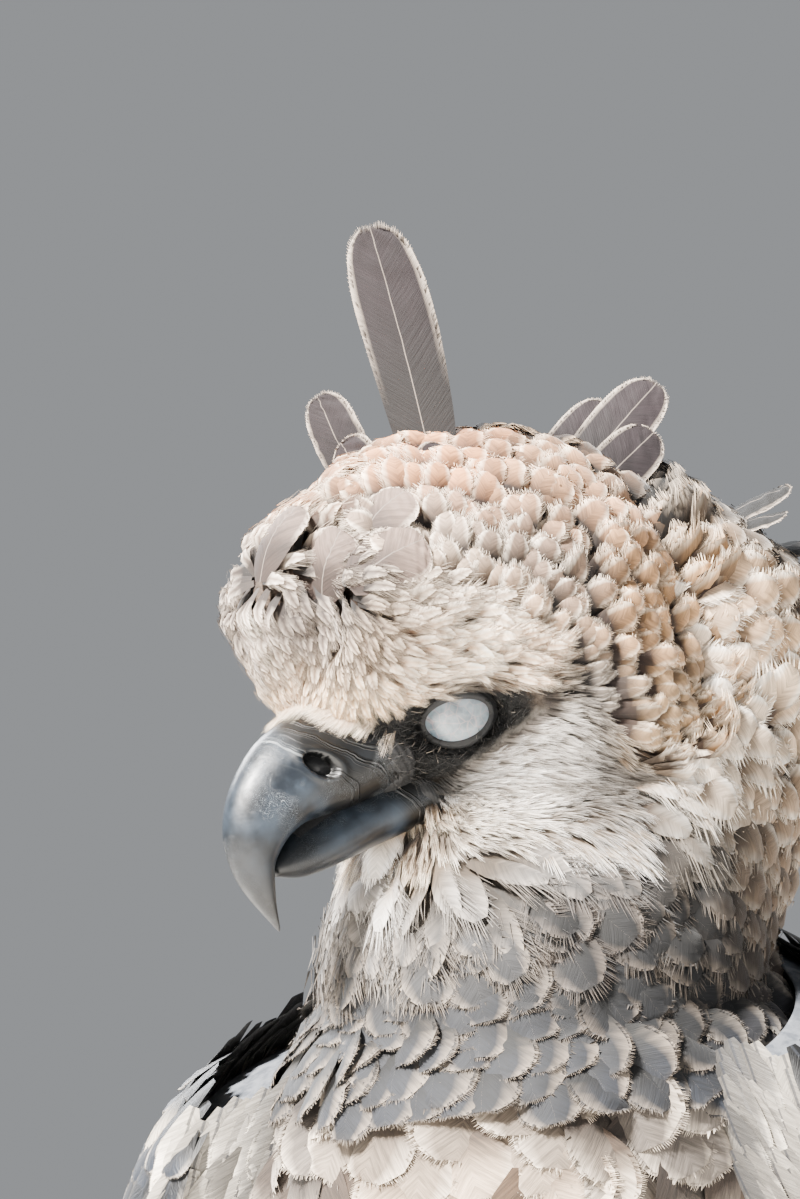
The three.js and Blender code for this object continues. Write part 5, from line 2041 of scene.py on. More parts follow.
    def _at_throat(self, points: np.ndarray) -> np.ndarray:
        """Whether each point is on the hair-like part of the throat, under the face.

        Args:
            points: Points in the bird's frame.

        Returns:
            One truth value for each.
        """
        f, l, u = self.anatomy.head.local(points).T
        low = np.interp(np.abs(l), [0, 20, 50, 62], [634, 636, 648, 672])
        under = (points[:, 2] > low) & (u < np.interp(f, [0, 14], [-30, -40]))
        return under & (f > -42) & (np.abs(l) < 62) & ~self._on_jaw(points)

    def _zone(self, points: np.ndarray) -> np.ndarray:
        """The part of the head each point is on: -1 bare, 0 crown, 1 forehead and brow, 2 cheek and chin.

        Args:
            points: Points in the bird's frame.

        Returns:
            One number for each.
        """
        local = self.anatomy.head.local(points)
        f, u = local[:, 0], local[:, 2]
        face = np.interp(f, [-90, -30, -18, 0, 20, 34, 60], [-75, -30, 1, 4, 1, 6, 20])
        cheek = (u < face) & (f > np.interp(u, [-60, -30, 0, 10], [-30, -36, -30, -24]))
        brow = f > np.interp(u, [0, 20, 40, 60], [-20, -8, 12, 20])
        zone = np.where(cheek, 2, np.where(brow, 1, 0))
        covered = bare_share(local) > 0.35
        for eye in self.eyes:
            off, front = eye.over(points)
            covered |= (off < 1.22) & (front > 0)
        return np.where(covered, -1, zone)

    def _lay(self, name: str, plumes: Plumes, finish: bpy.types.Material, slot: str) -> None:
        """Makes one tract's feathers, in as many pieces as they need.

        Args:
            name: The pieces' name.
            plumes: The feathers.
            finish: Their material.
            slot: Their material slot.
        """
        each = len(FeatherShape(plumes.cut).faces)
        count = len(plumes.half)
        pieces = math.ceil(count * each / self.limit)
        for k in range(pieces):
            part = plumes.part(np.arange(count * k // pieces, count * (k + 1) // pieces))
            piece = part.mesh(self.draw).to_object(name if pieces == 1 else f"{name}_{k + 1}", finish)
            hand_over(piece, slot)


@dataclass
class Bristles:
    """The stiff hairs of the black skin between bill, eye and gape."""

    head: Head
    eyes: Sequence["Eye"]
    draw: np.random.Generator

    def build(self, skin: bpy.types.Object, finish: bpy.types.Material) -> None:
        """Makes the hairs on the bare part of the skin.

        Args:
            skin: The skin.
            finish: The hairs' finish.
        """
        data = skin.data
        data.calc_loop_triangles()
        middle = np.array([polygon.center for polygon in data.polygons]) * 1000 + BOX_MIDDLE
        normal = np.array([polygon.normal for polygon in data.polygons])
        bare = bare_share(self.head.local(middle))
        for eye in self.eyes:
            off, front = eye.over(middle)
            bare = np.where((off < 1.12) & (front > -4), 0, bare)
        pick = np.flatnonzero(bare > 0.5)
        pick = self.draw.choice(pick, 4 * len(pick))
        count = len(pick)
        root = middle[pick] + self.draw.normal(0, 0.9, (count, 3))
        out = normal[pick]
        back = -self.head.forward + 0.35 * self.head.upward
        back = unit(back - out * (out @ back)[:, None] + self.draw.normal(0, 0.45, (count, 3)))
        length = self.draw.uniform(1.6, 4.2, count)
        t = np.linspace(0, REACH, 6)
        spine = root[:, None] + back[:, None] * (length[:, None] * t)[..., None]
        spine = spine + out[:, None] * (length[:, None] * 0.45 * np.sin(t * 1.6) - 0.3)[..., None]
        pale = (self.draw.uniform(0, 1, count) < 0.05)[:, None]
        main = np.where(pale, tone("a39d95"), tone("30302f"))
        angle, along = self.head.angles(self.head.local(root))
        # main * 0.6 is the root tone, painted shade at the hairs' bases
        plumes = Plumes(Cut.BRISTLE, spine, np.broadcast_to(out[:, None], spine.shape),
                        np.full(count, 0.16), main * 0.6, main, main,
                        self.head.bake_place(angle, along), cup=0.0, messy=0.6, streak=0.0)
        hand_over(plumes.mesh(self.draw).to_object("bristles", finish), "plumage_head")


@dataclass
class Bill:
    """The hooked bill, its nostrils, and dark pieces that are painted shade in the mouth and nostrils."""

    head: Head
    upper: BillHalf = field(init=False)
    lower: BillHalf = field(init=False)
    nostril: tuple[float, float] = (43.0, -5.4)  # forward and up
    nostril_size: tuple[float, float, float] = (5.4, 3.1, 4.5)  # half its length and height, its depth
    nostril_slant: float = 49.0

    def __post_init__(self) -> None:
        """Builds both halves from their stations."""
        self.upper = BillHalf(
            self.head,
            ((0, 12), (0.2, 40), (0.45, 57.5), (0.7, 71.5), (0.85, 74), (1, 67.4)),
            ((0, 9), (0.2, 8.6), (0.45, 3), (0.7, -11), (0.85, -27), (1, -46.8)),
            ((0, 8), (0.2, 32), (0.45, 50), (0.7, 62.5), (0.85, 66), (1, 67)),
            ((0, -24), (0.2, -23), (0.45, -21), (0.7, -27.5), (0.85, -37), (1, -46.8)),
            ((0, 20), (0.2, 16.5), (0.45, 12.5), (0.7, 9), (0.85, 6), (1, 0.6)),
        )
        self.lower = BillHalf(
            self.head,
            ((0, 4), (0.35, 24), (0.6, 40), (0.8, 53), (1, 63.5)),
            ((0, -14), (0.35, -15.5), (0.6, -18.5), (0.8, -22), (1, -27)),
            ((0, 4), (0.4, 26), (0.8, 52), (1, 63)),
            ((0, -36.5), (0.4, -36), (0.8, -35.5), (1, -31.5)),
            ((0, 18.4), (0.4, 13.2), (0.8, 8.2), (1, 3)),
        )

    def build(self, horn: bpy.types.Material, dark: bpy.types.Material) -> None:
        """Makes both halves, and the dark sheet between them that is painted shade in the mouth.

        Args:
            horn: The finish of the horn.
            dark: The finish of the black skin, and of the painted shade in mouth and nostrils.
        """
        for half, name in ((self.upper, "bill_upper"), (self.lower, "bill_lower")):
            mesh = self._with_map(half, 120, 130, 0.0)
            if half is self.upper:
                mesh.points = self._pierced(mesh.points)
            hand_over(mesh.to_object(f"{name}_horn", horn), "bill", name)
        hand_over(self.cere().to_object("bill_skin", dark), "plumage_head")
        # Painted shade: a dark sheet inside the lower half, seen through the gap between the halves
        mouth_shade = self.lower.grid(48, 40, -2.2, (0.0, 0.8))
        mouth_shade.points = self.head.place(self.head.local(mouth_shade.points) + [0, 0, 3.0])
        hand_over(mouth_shade.to_object("mouth", dark), "bill")
        # A dark oval in each nostril is painted shade inside it
        for side in SIDES.values():
            hand_over(self._nostril_shade(side).to_object(f"nostril_{int(side > 0)}", dark), "bill")

    def cere(self) -> Mesh:
        """The black skin that laps over the bill's base and thins out on the horn.

        Returns:
            The skin as a mesh.
        """
        around, rows = 110, 46
        sheets = []
        for half, reach, wave in ((self.upper, 0.1, 1.0), (self.lower, 0.2, -1.0)):
            angle, share = np.meshgrid(np.arange(around) * 360 / around, np.linspace(0.0, 1, rows),
                                       indexing="ij")
            turned = np.radians(angle)
            front = reach - 0.035 * np.cos(turned) * wave
            front = front + 0.012 * np.sin(5 * turned) + 0.006 * np.sin(13 * turned)
            along = 0.004 + front * share
            folds = 0.12 * np.sin(along * 420 + 3 * np.sin(3 * turned))
            height = mix(1.0, -0.8, smooth(share, 0.72, 1.0)) + folds
            points = half.point(angle, along, height).reshape(-1, 3)
            corner = np.arange(around * rows).reshape(around, rows)
            sheets.append(Mesh(points, grid_faces(corner.T, True)))
        return joined(sheets)

    @staticmethod
    def _with_map(half: BillHalf, around: int, rows: int, grow: float) -> Mesh:
        """Half of the bill as a closed mesh, mapped by angle and how far along.

        Args:
            half: The half of the bill.
            around: Faces round it.
            rows: Faces along it.
            grow: How far outwards it is moved.

        Returns:
            The mesh.
        """
        mesh = half.grid(around, rows, grow)
        along, angle = np.meshgrid(eased(rows), np.arange(around) / around, indexing="ij")
        mesh.vane = np.vstack([np.stack([angle.ravel(), along.ravel()], -1), [[0, 0], [0, 1]]])
        return mesh

    def _in_nostril(self, local: np.ndarray) -> np.ndarray:
        """How far each point is from the nostril's middle, as a share of its size.

        Args:
            local: Places given as forward, left and up.

        Returns:
            One share for each.
        """
        turn = math.radians(self.nostril_slant)
        f, u = local[:, 0] - self.nostril[0], local[:, 2] - self.nostril[1]
        long = f * math.cos(turn) + u * math.sin(turn)
        high = u * math.cos(turn) - f * math.sin(turn)
        return np.hypot(long / self.nostril_size[0], high / self.nostril_size[1])

    def _pierced(self, points: np.ndarray) -> np.ndarray:
        """The bill's points with the nostrils pressed in and a raised rim round them.

        Args:
            points: Points in the bird's frame.

        Returns:
            The moved points.
        """
        local = self.head.local(points)
        away = self._in_nostril(local)
        deep = self.nostril_size[2] * (1 - smooth(away, 0.72, 1.08)) - 0.5 * bell((away - 1.3) / 0.28)
        side = np.sign(local[:, 1]) * np.minimum(1, np.abs(local[:, 1]) / 6)
        local[:, 1] -= side * deep
        return self.head.place(local)

    def _nostril_shade(self, side: float) -> Mesh:
        """Painted shade inside a nostril: a flat dark oval set deep in it.

        Args:
            side: 1 for the left, -1 for the right.

        Returns:
            The mesh.
        """
        turn = math.radians(self.nostril_slant)
        angle = np.arange(28) / 28 * 2 * np.pi
        long, high = 4.7 * np.cos(angle), 2.6 * np.sin(angle)
        f = self.nostril[0] + long * math.cos(turn) - high * math.sin(turn)
        u = self.nostril[1] + long * math.sin(turn) + high * math.cos(turn)
        out = side * (self._width_at(f, u) - self.nostril_size[2] + 1.2)
        ring = np.stack([f, out, u], -1)
        middle = ring.mean(0)
        points = self.head.place(np.vstack([ring, [middle], [middle - [0, side * 2.0, 0]]]))
        n = np.arange(28)
        faces = np.vstack([np.stack([n, (n + 1) % 28, np.full(28, 28)], -1),
                           np.stack([(n + 1) % 28, n, np.full(28, 29)], -1)])
        made = Mesh(points, faces)
        made.face_outwards()
        return made

    def _width_at(self, f: np.ndarray, u: np.ndarray) -> np.ndarray:
        """Half the bill's width at places given as forward and up.

        Args:
            f: How far forward.
            u: How far up.

        Returns:
            One width for each place.
        """
        angle, along = np.meshgrid(np.arange(20, 160, 2.0), np.linspace(0.02, 0.6, 120), indexing="ij")
        local = self.head.local(self.upper.point(angle, along, 0.0).reshape(-1, 3))
        away = np.hypot(local[:, 0][None] - f[:, None], local[:, 2][None] - u[:, None])
        return local[:, 1][away.argmin(1)]


@dataclass
class Eye:
    """One eye with its closed membrane and its black lids."""

    head: Head
    name: str
    radius: float = 13.0
    lid: float = 1.0
    centre: tuple[float, float, float] = (-4.7, 18.0, -7.3)
    facing: tuple[float, float, float] = (0.6, 0.79, -0.1)
    long: float = 9.4
    high: float = 6.0

    def axes(self) -> tuple[np.ndarray, np.ndarray, np.ndarray, np.ndarray]:
        """The eye's middle and its directions outwards, lengthwise and across, in the bird's frame.

        Returns:
            The middle and the three directions.
        """
        side = SIDES[self.name]
        middle = self.head.place([self.centre[0], self.centre[1] * side, self.centre[2]])
        out = unit(np.array([self.facing[0], self.facing[1] * side, self.facing[2]]) @ self.head.axes)
        long = unit(self.head.forward - out * (self.head.forward @ out))
        return middle, out, long, np.cross(long, out)

    def over(self, points: np.ndarray) -> tuple[np.ndarray, np.ndarray]:
        """How far points lie off the eye's axis, in openings, and how far in front of its middle.

        Args:
            points: Points in the bird's frame.

        Returns:
            Both, for each point.
        """
        middle, out, long, across = self.axes()
        away = points - middle
        return np.hypot(away @ long / self.long, away @ across / self.high), away @ out

    def socketed(self, points: np.ndarray) -> np.ndarray:
        """The skin's points with those in front of the eye pressed back behind its lids.

        Args:
            points: Points in the bird's frame.

        Returns:
            The moved points.
        """
        middle, out, _, _ = self.axes()
        away = points - middle
        off, front = self.over(points)
        radius = np.linalg.norm(away - front[:, None] * out, axis=-1)
        deep = np.sqrt(np.maximum(self.radius**2 - radius**2, 0.0)) - 3.0
        press = (off < 1.5) & (front > 0) & (front > deep)
        share = 1 - smooth(off, 1.1, 1.5)
        moved = points + out * np.where(press, (deep - front) * share, 0.0)[:, None]
        return moved

    def ball(self, radius: float) -> Mesh:
        """The eyeball at a radius, as a closed mesh with its pole facing out.

        Args:
            radius: The radius.

        Returns:
            The mesh.
        """
        around, rows = 64, 48
        middle, out, long, across = self.axes()
        theta, phi = np.meshgrid(np.pi * np.arange(1, rows) / rows, 2 * np.pi * np.arange(around) / around,
                                 indexing="ij")
        ring = (np.cos(theta)[..., None] * out + (np.sin(theta) * np.cos(phi))[..., None] * long
                + (np.sin(theta) * np.sin(phi))[..., None] * across).reshape(-1, 3)
        points = middle + radius * np.vstack([ring, out, -out])
        made = Mesh(points, closed_faces(rows - 1, around))
        made.face_outwards()
        return made

    def lids(self) -> Mesh:
        """The lids as a thick shell with an oval opening, folded in rings.

        Returns:
            The mesh.
        """
        around, rows = 96, 30
        middle, out, long, across = self.axes()
        phi = 2 * np.pi * np.arange(around) / around
        edge = 1 / np.sqrt((np.cos(phi) / self.long) ** 2 + (np.sin(phi) / self.high) ** 2)
        share = np.linspace(0, 1, rows)
        rings = []
        for t in share:
            folds = 0.22 * np.sin(t * 44 + 1.8 * np.sin(2 * phi)) * smooth(t, 0.1, 0.4)
            lip = 0.35 * bell((t - 0.09) / 0.07) + folds
            reach = self.radius + mix(0.1, self.lid, smooth(t, 0.0, 0.2)) + lip
            flat = mix(edge / self.radius, np.full(around, 1.1), t)
            rings.append((flat, reach))
        outer = [self._on_ball(flat, reach, phi) for flat, reach in rings]
        inner = [self._on_ball(rings[-1][0], np.full(around, self.radius - 2.0), phi),
                 self._on_ball(rings[0][0] * 1.04, np.full(around, self.radius - 2.0), phi)]
        points = np.stack(outer + inner).reshape(-1, 3)
        points = middle + points @ np.stack([out, long, across])
        total = rows + 2
        corner = np.arange(total * around).reshape(total, around)
        made = Mesh(points, grid_faces(np.vstack([corner, corner[:1]]), True))
        made.face_outwards()
        return made

    def _on_ball(self, flat: np.ndarray, reach: np.ndarray, phi: np.ndarray) -> np.ndarray:
        """Points on a ball whose angle from the pole is given as an arc over the eye's radius.

        Args:
            flat: The arc for each point.
            reach: Each point's distance from the eye's middle.
            phi: The angle round the axis.

        Returns:
            Places in the eye's own directions.
        """
        theta = np.clip(flat, 0, 2.4)
        theta = np.where(theta < 1, np.arcsin(np.clip(theta, 0, 1)), np.pi / 2 * theta)
        return np.stack([np.cos(theta) * reach, np.sin(theta) * np.cos(phi) * reach,
                         np.sin(theta) * np.sin(phi) * reach], -1)

    def build(self, membrane: bpy.types.Material, skin: bpy.types.Material) -> None:
        """Makes the eye and its lids.

        Args:
            membrane: The finish of the closed membrane.
            skin: The finish of the lids.
        """
        hand_over(self.ball(self.radius).to_object(f"eyeball_{self.name}", membrane), "eye",
                  f"eye_{self.name}")
        hand_over(self.lids().to_object(f"lids_{self.name}", skin), "plumage_head")


@dataclass
class Standing:
    """One long feather that stands free: where it starts and ends, how wide it is and how it bows."""

    root: np.ndarray
    tip: np.ndarray
    half: float
    facing: np.ndarray
    sway: float
    sink: float = 8.0

    def spine(self, stations: int = 12) -> tuple[np.ndarray, np.ndarray]:
        """The middle line's points and the directions that the face looks.

        Args:
            stations: How many points.

        Returns:
            The points and the directions.
        """
        run = unit(self.tip - self.root)
        across = unit(np.cross(run, self.facing))
        out = unit(np.cross(across, run))
        base = self.root - run * self.sink
        t = np.linspace(0, REACH, stations)[:, None]
        bow = np.sin(np.pi * np.minimum(t, 1)) - np.pi * np.maximum(t - 1, 0)
        return base + (self.tip - base) * t + out * self.sway * bow, np.tile(out, (stations, 1))


def standing_plumes(cut: Cut, feathers: Sequence[Standing], tones: tuple[str, str, str], place: np.ndarray,
                    **settings: object) -> Plumes:
    """Free feathers as plumes of one colouring.

    Args:
        cut: Their shape.
        feathers: The feathers.
        tones: The colours of root, middle and edge.
        place: Where each lies on the unwrap.
        settings: Further settings of the plumes.

    Returns:
        The plumes.
    """
    lines = [feather.spine() for feather in feathers]
    count = len(feathers)
    root, main, edge = (np.tile(tone(code), (count, 1)) for code in tones)
    return Plumes(cut, np.stack([points for points, _ in lines]), np.stack([normal for _, normal in lines]),
                  np.array([feather.half for feather in feathers]), root, main, edge, place, **settings)


@dataclass
class Crest:
    """The raised feathers of the crown and the big grey ones of the forehead."""

    head: Head
    draw: np.random.Generator
    feathers: Sequence[tuple] = (
        ((-34, 4, 52), (-46, 0, 130), 23, -4, 42), ((-27, -18, 50), (-27, -28, 87), 19, 2, 20),
        ((-24, -8, 54), (-22, -17, 73), 19, 2, 20), ((-24, 14, 54), (-30, 20, 66), 14, 0, 30),
        ((-52, 10, 40), (-65, 10, 54), 16, 1, 30), ((-60, 6, 36), (-81, 6, 48), 16, 2, 30),
        ((-64, -4, 34), (-108, -6, 53), 14, 3, 30), ((-66, 8, 32), (-117, 10, 54), 18, 4, 30),
        ((-66, 18, 30), (-106, 16, 42), 17, 3, 30),
    )
    grey: Sequence[tuple] = (
        ((17, 29, 38), (-1, 38, 44), 21), ((29, 18, 43), (16, 24, 57), 18), ((30, 4, 49), (14, 6, 63), 18),
        ((14, 26, 53), (-6, 30, 61), 19),
    )
    nape: Sequence[tuple] = (
        ((34, -6, 748), (62, 4, 768), 18), ((40, -2, 742), (78, 10, 752), 18),
        ((38, 6, 738), (84, 34, 716), 26), ((36, -14, 746), (66, -12, 758), 16),
        ((42, -10, 738), (74, -4, 742), 17),
    )

    def build(self, finish: bpy.types.Material) -> None:
        """Makes the feathers.

        Args:
            finish: The feathers' finish.
        """
        # The first of each three tones is the root tone, painted shade under the overlapping feathers
        crest = [self._standing(*row) for row in self.feathers]
        tall = standing_plumes(Cut.CREST, crest, ("40393b", "564d51", "d8cfc6"), self._bake_places(crest),
                               cup=0.12, messy=0.04, streak=0.35)
        grey = [self._lying(*row) for row in self.grey]
        flat = standing_plumes(Cut.CREST, grey, ("6e635e", "9d9089", "e6dcd2"), self._bake_places(grey),
                               cup=0.3, messy=0.1, streak=0.6)
        facing = unit(np.array([0.4, -0.2, 0.9]))
        nape = [Standing(np.array(root, float), np.array(tip, float), width / 2, facing, 3.0, 6.0)
                for root, tip, width in self.nape]
        dark = standing_plumes(Cut.CREST, nape, ("0d0b0a", "28211e", "c9c0b7"), self._bake_places(nape),
                               cup=0.2, messy=0.15, streak=0.4)
        mesh = joined([part.mesh(self.draw) for part in (tall, flat, dark)])
        hand_over(mesh.to_object("crest", finish), "plumage_head")

    def _standing(self, root: tuple, tip: tuple, width: float, sway: float, twist: float) -> Standing:
        """A crest feather from its row of the table.

        Args:
            root: Where it starts.
            tip: Where it ends.
            width: How wide it is.
            sway: How far it bows.
            twist: Degrees that its face is turned.

        Returns:
            The feather.
        """
        turn = math.radians(twist)
        facing = self.head.forward * math.cos(turn) + self.head.left * math.sin(turn)
        return Standing(self.head.place(root), self.head.place(tip), width / 2, facing, sway)

    def _lying(self, root: tuple, tip: tuple, width: float) -> Standing:
        """A forehead feather from its row of the table, facing away from the head's middle.

        Args:
            root: Where it starts.
            tip: Where it ends.
            width: How wide it is.

        Returns:
            The feather.
        """
        root_at, tip_at = (self.head.point(*self.head.angles(np.array(place, float)), height)
                           for place, height in ((root, 0.5), (tip, 7.0)))
        facing = unit((root_at + tip_at) / 2 - self.head.place(self.head.middle))
        return Standing(root_at, tip_at, width / 2, facing, 3.0, 3.0)

    def _bake_places(self, feathers: Sequence[Standing]) -> np.ndarray:
        """Where each feather's root lies on the unwrap."""
        angle, along = self.head.angles(self.head.local(np.array([feather.root for feather in feathers])))
        return self.head.bake_place(angle, along)


@dataclass
class Wing:
    """A folded wing: its inner pad, coverts and long feathers."""

    name: str
    draw: np.random.Generator
    form: WingForm = field(init=False)
    # count, along at the first and last root and tip, shares across, half width, rise of root and tip, cut
    tiers: Sequence[tuple] = (
        (9, (0.6, 0.46), (1.27, 0.96), (0.6, 0.95), 17, (-2, 1), "FLIGHT"),
        (11, (0.42, 0.48), (1.03, 0.98), (0.1, 0.84), 20, (-2, 4), "FLIGHT"),
        (12, (0.31, 0.33), (0.7, 0.62), (0.08, 0.94), 16, (-2, 6), "SMOOTH"),
        (14, (0.24, 0.26), (0.5, 0.47), (0.06, 0.95), 14, (-2, 7), "SMOOTH"),
        (16, (0.19, 0.2), (0.37, 0.36), (0.05, 0.96), 13, (-2, 7), "SMOOTH"),
        (17, (0.14, 0.15), (0.28, 0.28), (0.04, 0.97), 12, (-2, 7), "SMOOTH"),
        (17, (0.1, 0.11), (0.21, 0.21), (0.04, 0.97), 11, (-2, 6), "SMOOTH"),
        (18, (0.075, 0.075), (0.16, 0.16), (0.03, 0.98), 10, (-3, 5), "SMOOTH"),
        (24, (0.07, 0.075), (0.125, 0.13), (0.08, 0.99), 7, (-4, 3), "SMOOTH"),
        (26, (0.065, 0.065), (0.105, 0.105), (0.1, 0.99), 6.5, (-8, 2), "SMOOTH"),
    )

    def __post_init__(self) -> None:
        """Builds the wing's surface."""
        self.form = WingForm(self.name)

    def build(self, finish: bpy.types.Material, under: bpy.types.Material) -> None:
        """Makes the wing's pieces.

        Args:
            finish: The feathers' finish.
            under: The pad's finish.
        """
        hand_over(self._pad().to_object(f"wing_pad_{self.name}", under), "plumage_slate",
                  f"wing_{self.name}")
        tracts = [self._edge(), *(self._tier(*tier) for tier in self.tiers)]
        meshes = [plumes.mesh(self.draw) for plumes in tracts]
        hand_over(joined(meshes).to_object(f"wing_feathers_{self.name}", finish), "plumage_slate")

    def _edge(self) -> Plumes:
        """The small feathers that close the wing's lower edge and front against the body.

        Returns:
            The feathers.
        """
        levels, each = 8, 62
        level = np.repeat(np.linspace(0, 1, levels), each)
        start = np.tile(np.linspace(0.055, 0.74, each), levels) + self.draw.normal(0, 0.006, levels * each)
        start = start + 0.01 * level
        t = np.linspace(0, REACH, 8)
        along = start[:, None] + 0.05 * t
        share = (1.05 - 0.06 * level)[:, None] - 0.02 * t
        angle = self.form.across(share, along)
        deep = self.form.thickness(angle, along) + 7
        height = -deep * (1 - level[:, None]) + 6 * t * (1 - level[:, None]) + 1
        spine = self.form.point(angle, along, height)
        side = self.form.point(angle + 1, along, height) - self.form.point(angle - 1, along, height)
        normal = unit(unit(side) + 0.7 * self.form.normal(angle, along))
        count = levels * each
        pale = smooth(start, 0.5, 0.1)[:, None] * self.draw.uniform(0.3, 1, (count, 1))
        main = mix(np.tile(tone("565c66"), (count, 1)), tone("efe9e0"),
                   pale * (0.25 + 0.75 * level[:, None]))
        edge = mix(np.tile(tone("a9a49d"), (count, 1)), tone("f2ece2"), pale)
        wide = self.draw.uniform(5.5, 7.5, count)
        # main * 0.45 is the root tone, painted shade under the overlapping feathers
        return Plumes(Cut.SMOOTH, spine, normal, wide, main * 0.45, main, edge,
                      self.form.bake_place(angle[:, 0], along[:, 0]), cup=0.2, messy=0.12, streak=0.6)

    def _tier(self, count: int, roots: tuple, tips: tuple, across: tuple, half: float, rise: tuple,
              cut: str) -> Plumes:
        """One tier of feathers.

        Args:
            count: How many feathers.
            roots: How far along the body the first and last root are.
            tips: The same for their tips.
            across: Their shares of the way from the wing's upper edge to its lower one.
            half: Half a feather's width.
            rise: How high root and tip stand over the wing.
            cut: The kind of feather.

        Returns:
            The feathers.
        """
        share = np.linspace(0, 1, count)
        wobble = self.draw.normal(0, 0.008, (2, count))
        start = mix(roots[0], roots[1], share) + wobble[0]
        end = mix(tips[0], tips[1], share) + wobble[1]
        place = mix(across[0], across[1], share)
        t = np.linspace(0, REACH, 12)
        along = np.minimum(start[:, None] + (end - start)[:, None] * t, 1.39)
        angle = self.form.across(place[:, None], along)
        height = mix(rise[0], rise[1], np.sin(np.pi / 2 * np.minimum(t, 1)))[None] + np.zeros((count, 1))
        height = height + np.linspace(0, 2.4, count)[:, None]
        spine = self.form.point(angle, along, height)
        normal = self.form.normal(angle, along)
        slate = self.draw.normal(0, 0.1, (count, 1))
        main = tone("565d68") * np.exp(slate)
        small = smooth(-np.array(roots).mean(), -0.3, -0.08)
        edge = mix(tone("7d7f84"), tone("cbc4bb"), small)
        patch = self.draw.uniform(0, 1, (count, 1)) < 0.4
        pale = smooth(place, 0.6, 0.9)[:, None] * small * patch
        main = mix(main, tone("d8d1c6"), 0.85 * pale)
        # Root tone: painted shade under the overlapping feathers
        root = np.tile(tone("2c3037"), (count, 1))
        bake = self.form.bake_place(angle[:, 0], along[:, 0])
        return Plumes(Cut[cut], spine, normal, np.full(count, float(half)), root, main,
                      np.tile(edge, (count, 1)), bake, cup=0.18, messy=0.05, streak=0.7,
                      bars=7.0 if cut == "FLIGHT" else 0.0, roll=np.full(count, 0.07 * self.form.side))

    def _pad(self) -> Mesh:
        """The wing's inner body as a closed sheet between its two edges.

        Returns:
            The mesh.
        """
        rows, columns = 50, 36
        along, share = np.meshgrid(np.linspace(0.075, 0.86, rows), np.linspace(0.02, 0.98, columns),
                                   indexing="ij")
        angle = self.form.across(share, along)
        rim = dome(share - 0.02, 0.1) * dome(0.98 - share, 0.1) * dome((along - 0.075) / 0.785, 0.06)
        rim = rim * dome((0.86 - along) / 0.785, 0.06)
        deep = self.form.thickness(angle, along) + 6.0
        outer = self.form.point(angle, along, mix(-deep, np.full(rim.shape, -2.0), rim))
        inner = self.form.point(angle, along, -deep - 1.0)
        size = rows * columns
        points = np.vstack([outer.reshape(-1, 3), inner.reshape(-1, 3)])
        corner = np.arange(size).reshape(rows, columns)
        sheet = grid_faces(corner)
        border = np.concatenate([corner[0], corner[1:, -1], corner[-1, -2::-1], corner[-2:0:-1, 0]])
        after = np.roll(border, -1)
        walls = np.vstack([np.stack([border, after, after + size], -1),
                           np.stack([border, after + size, border + size], -1)])
        made = Mesh(points, np.vstack([sheet, sheet[:, ::-1] + size, walls]))
        made.face_outwards()
        return made


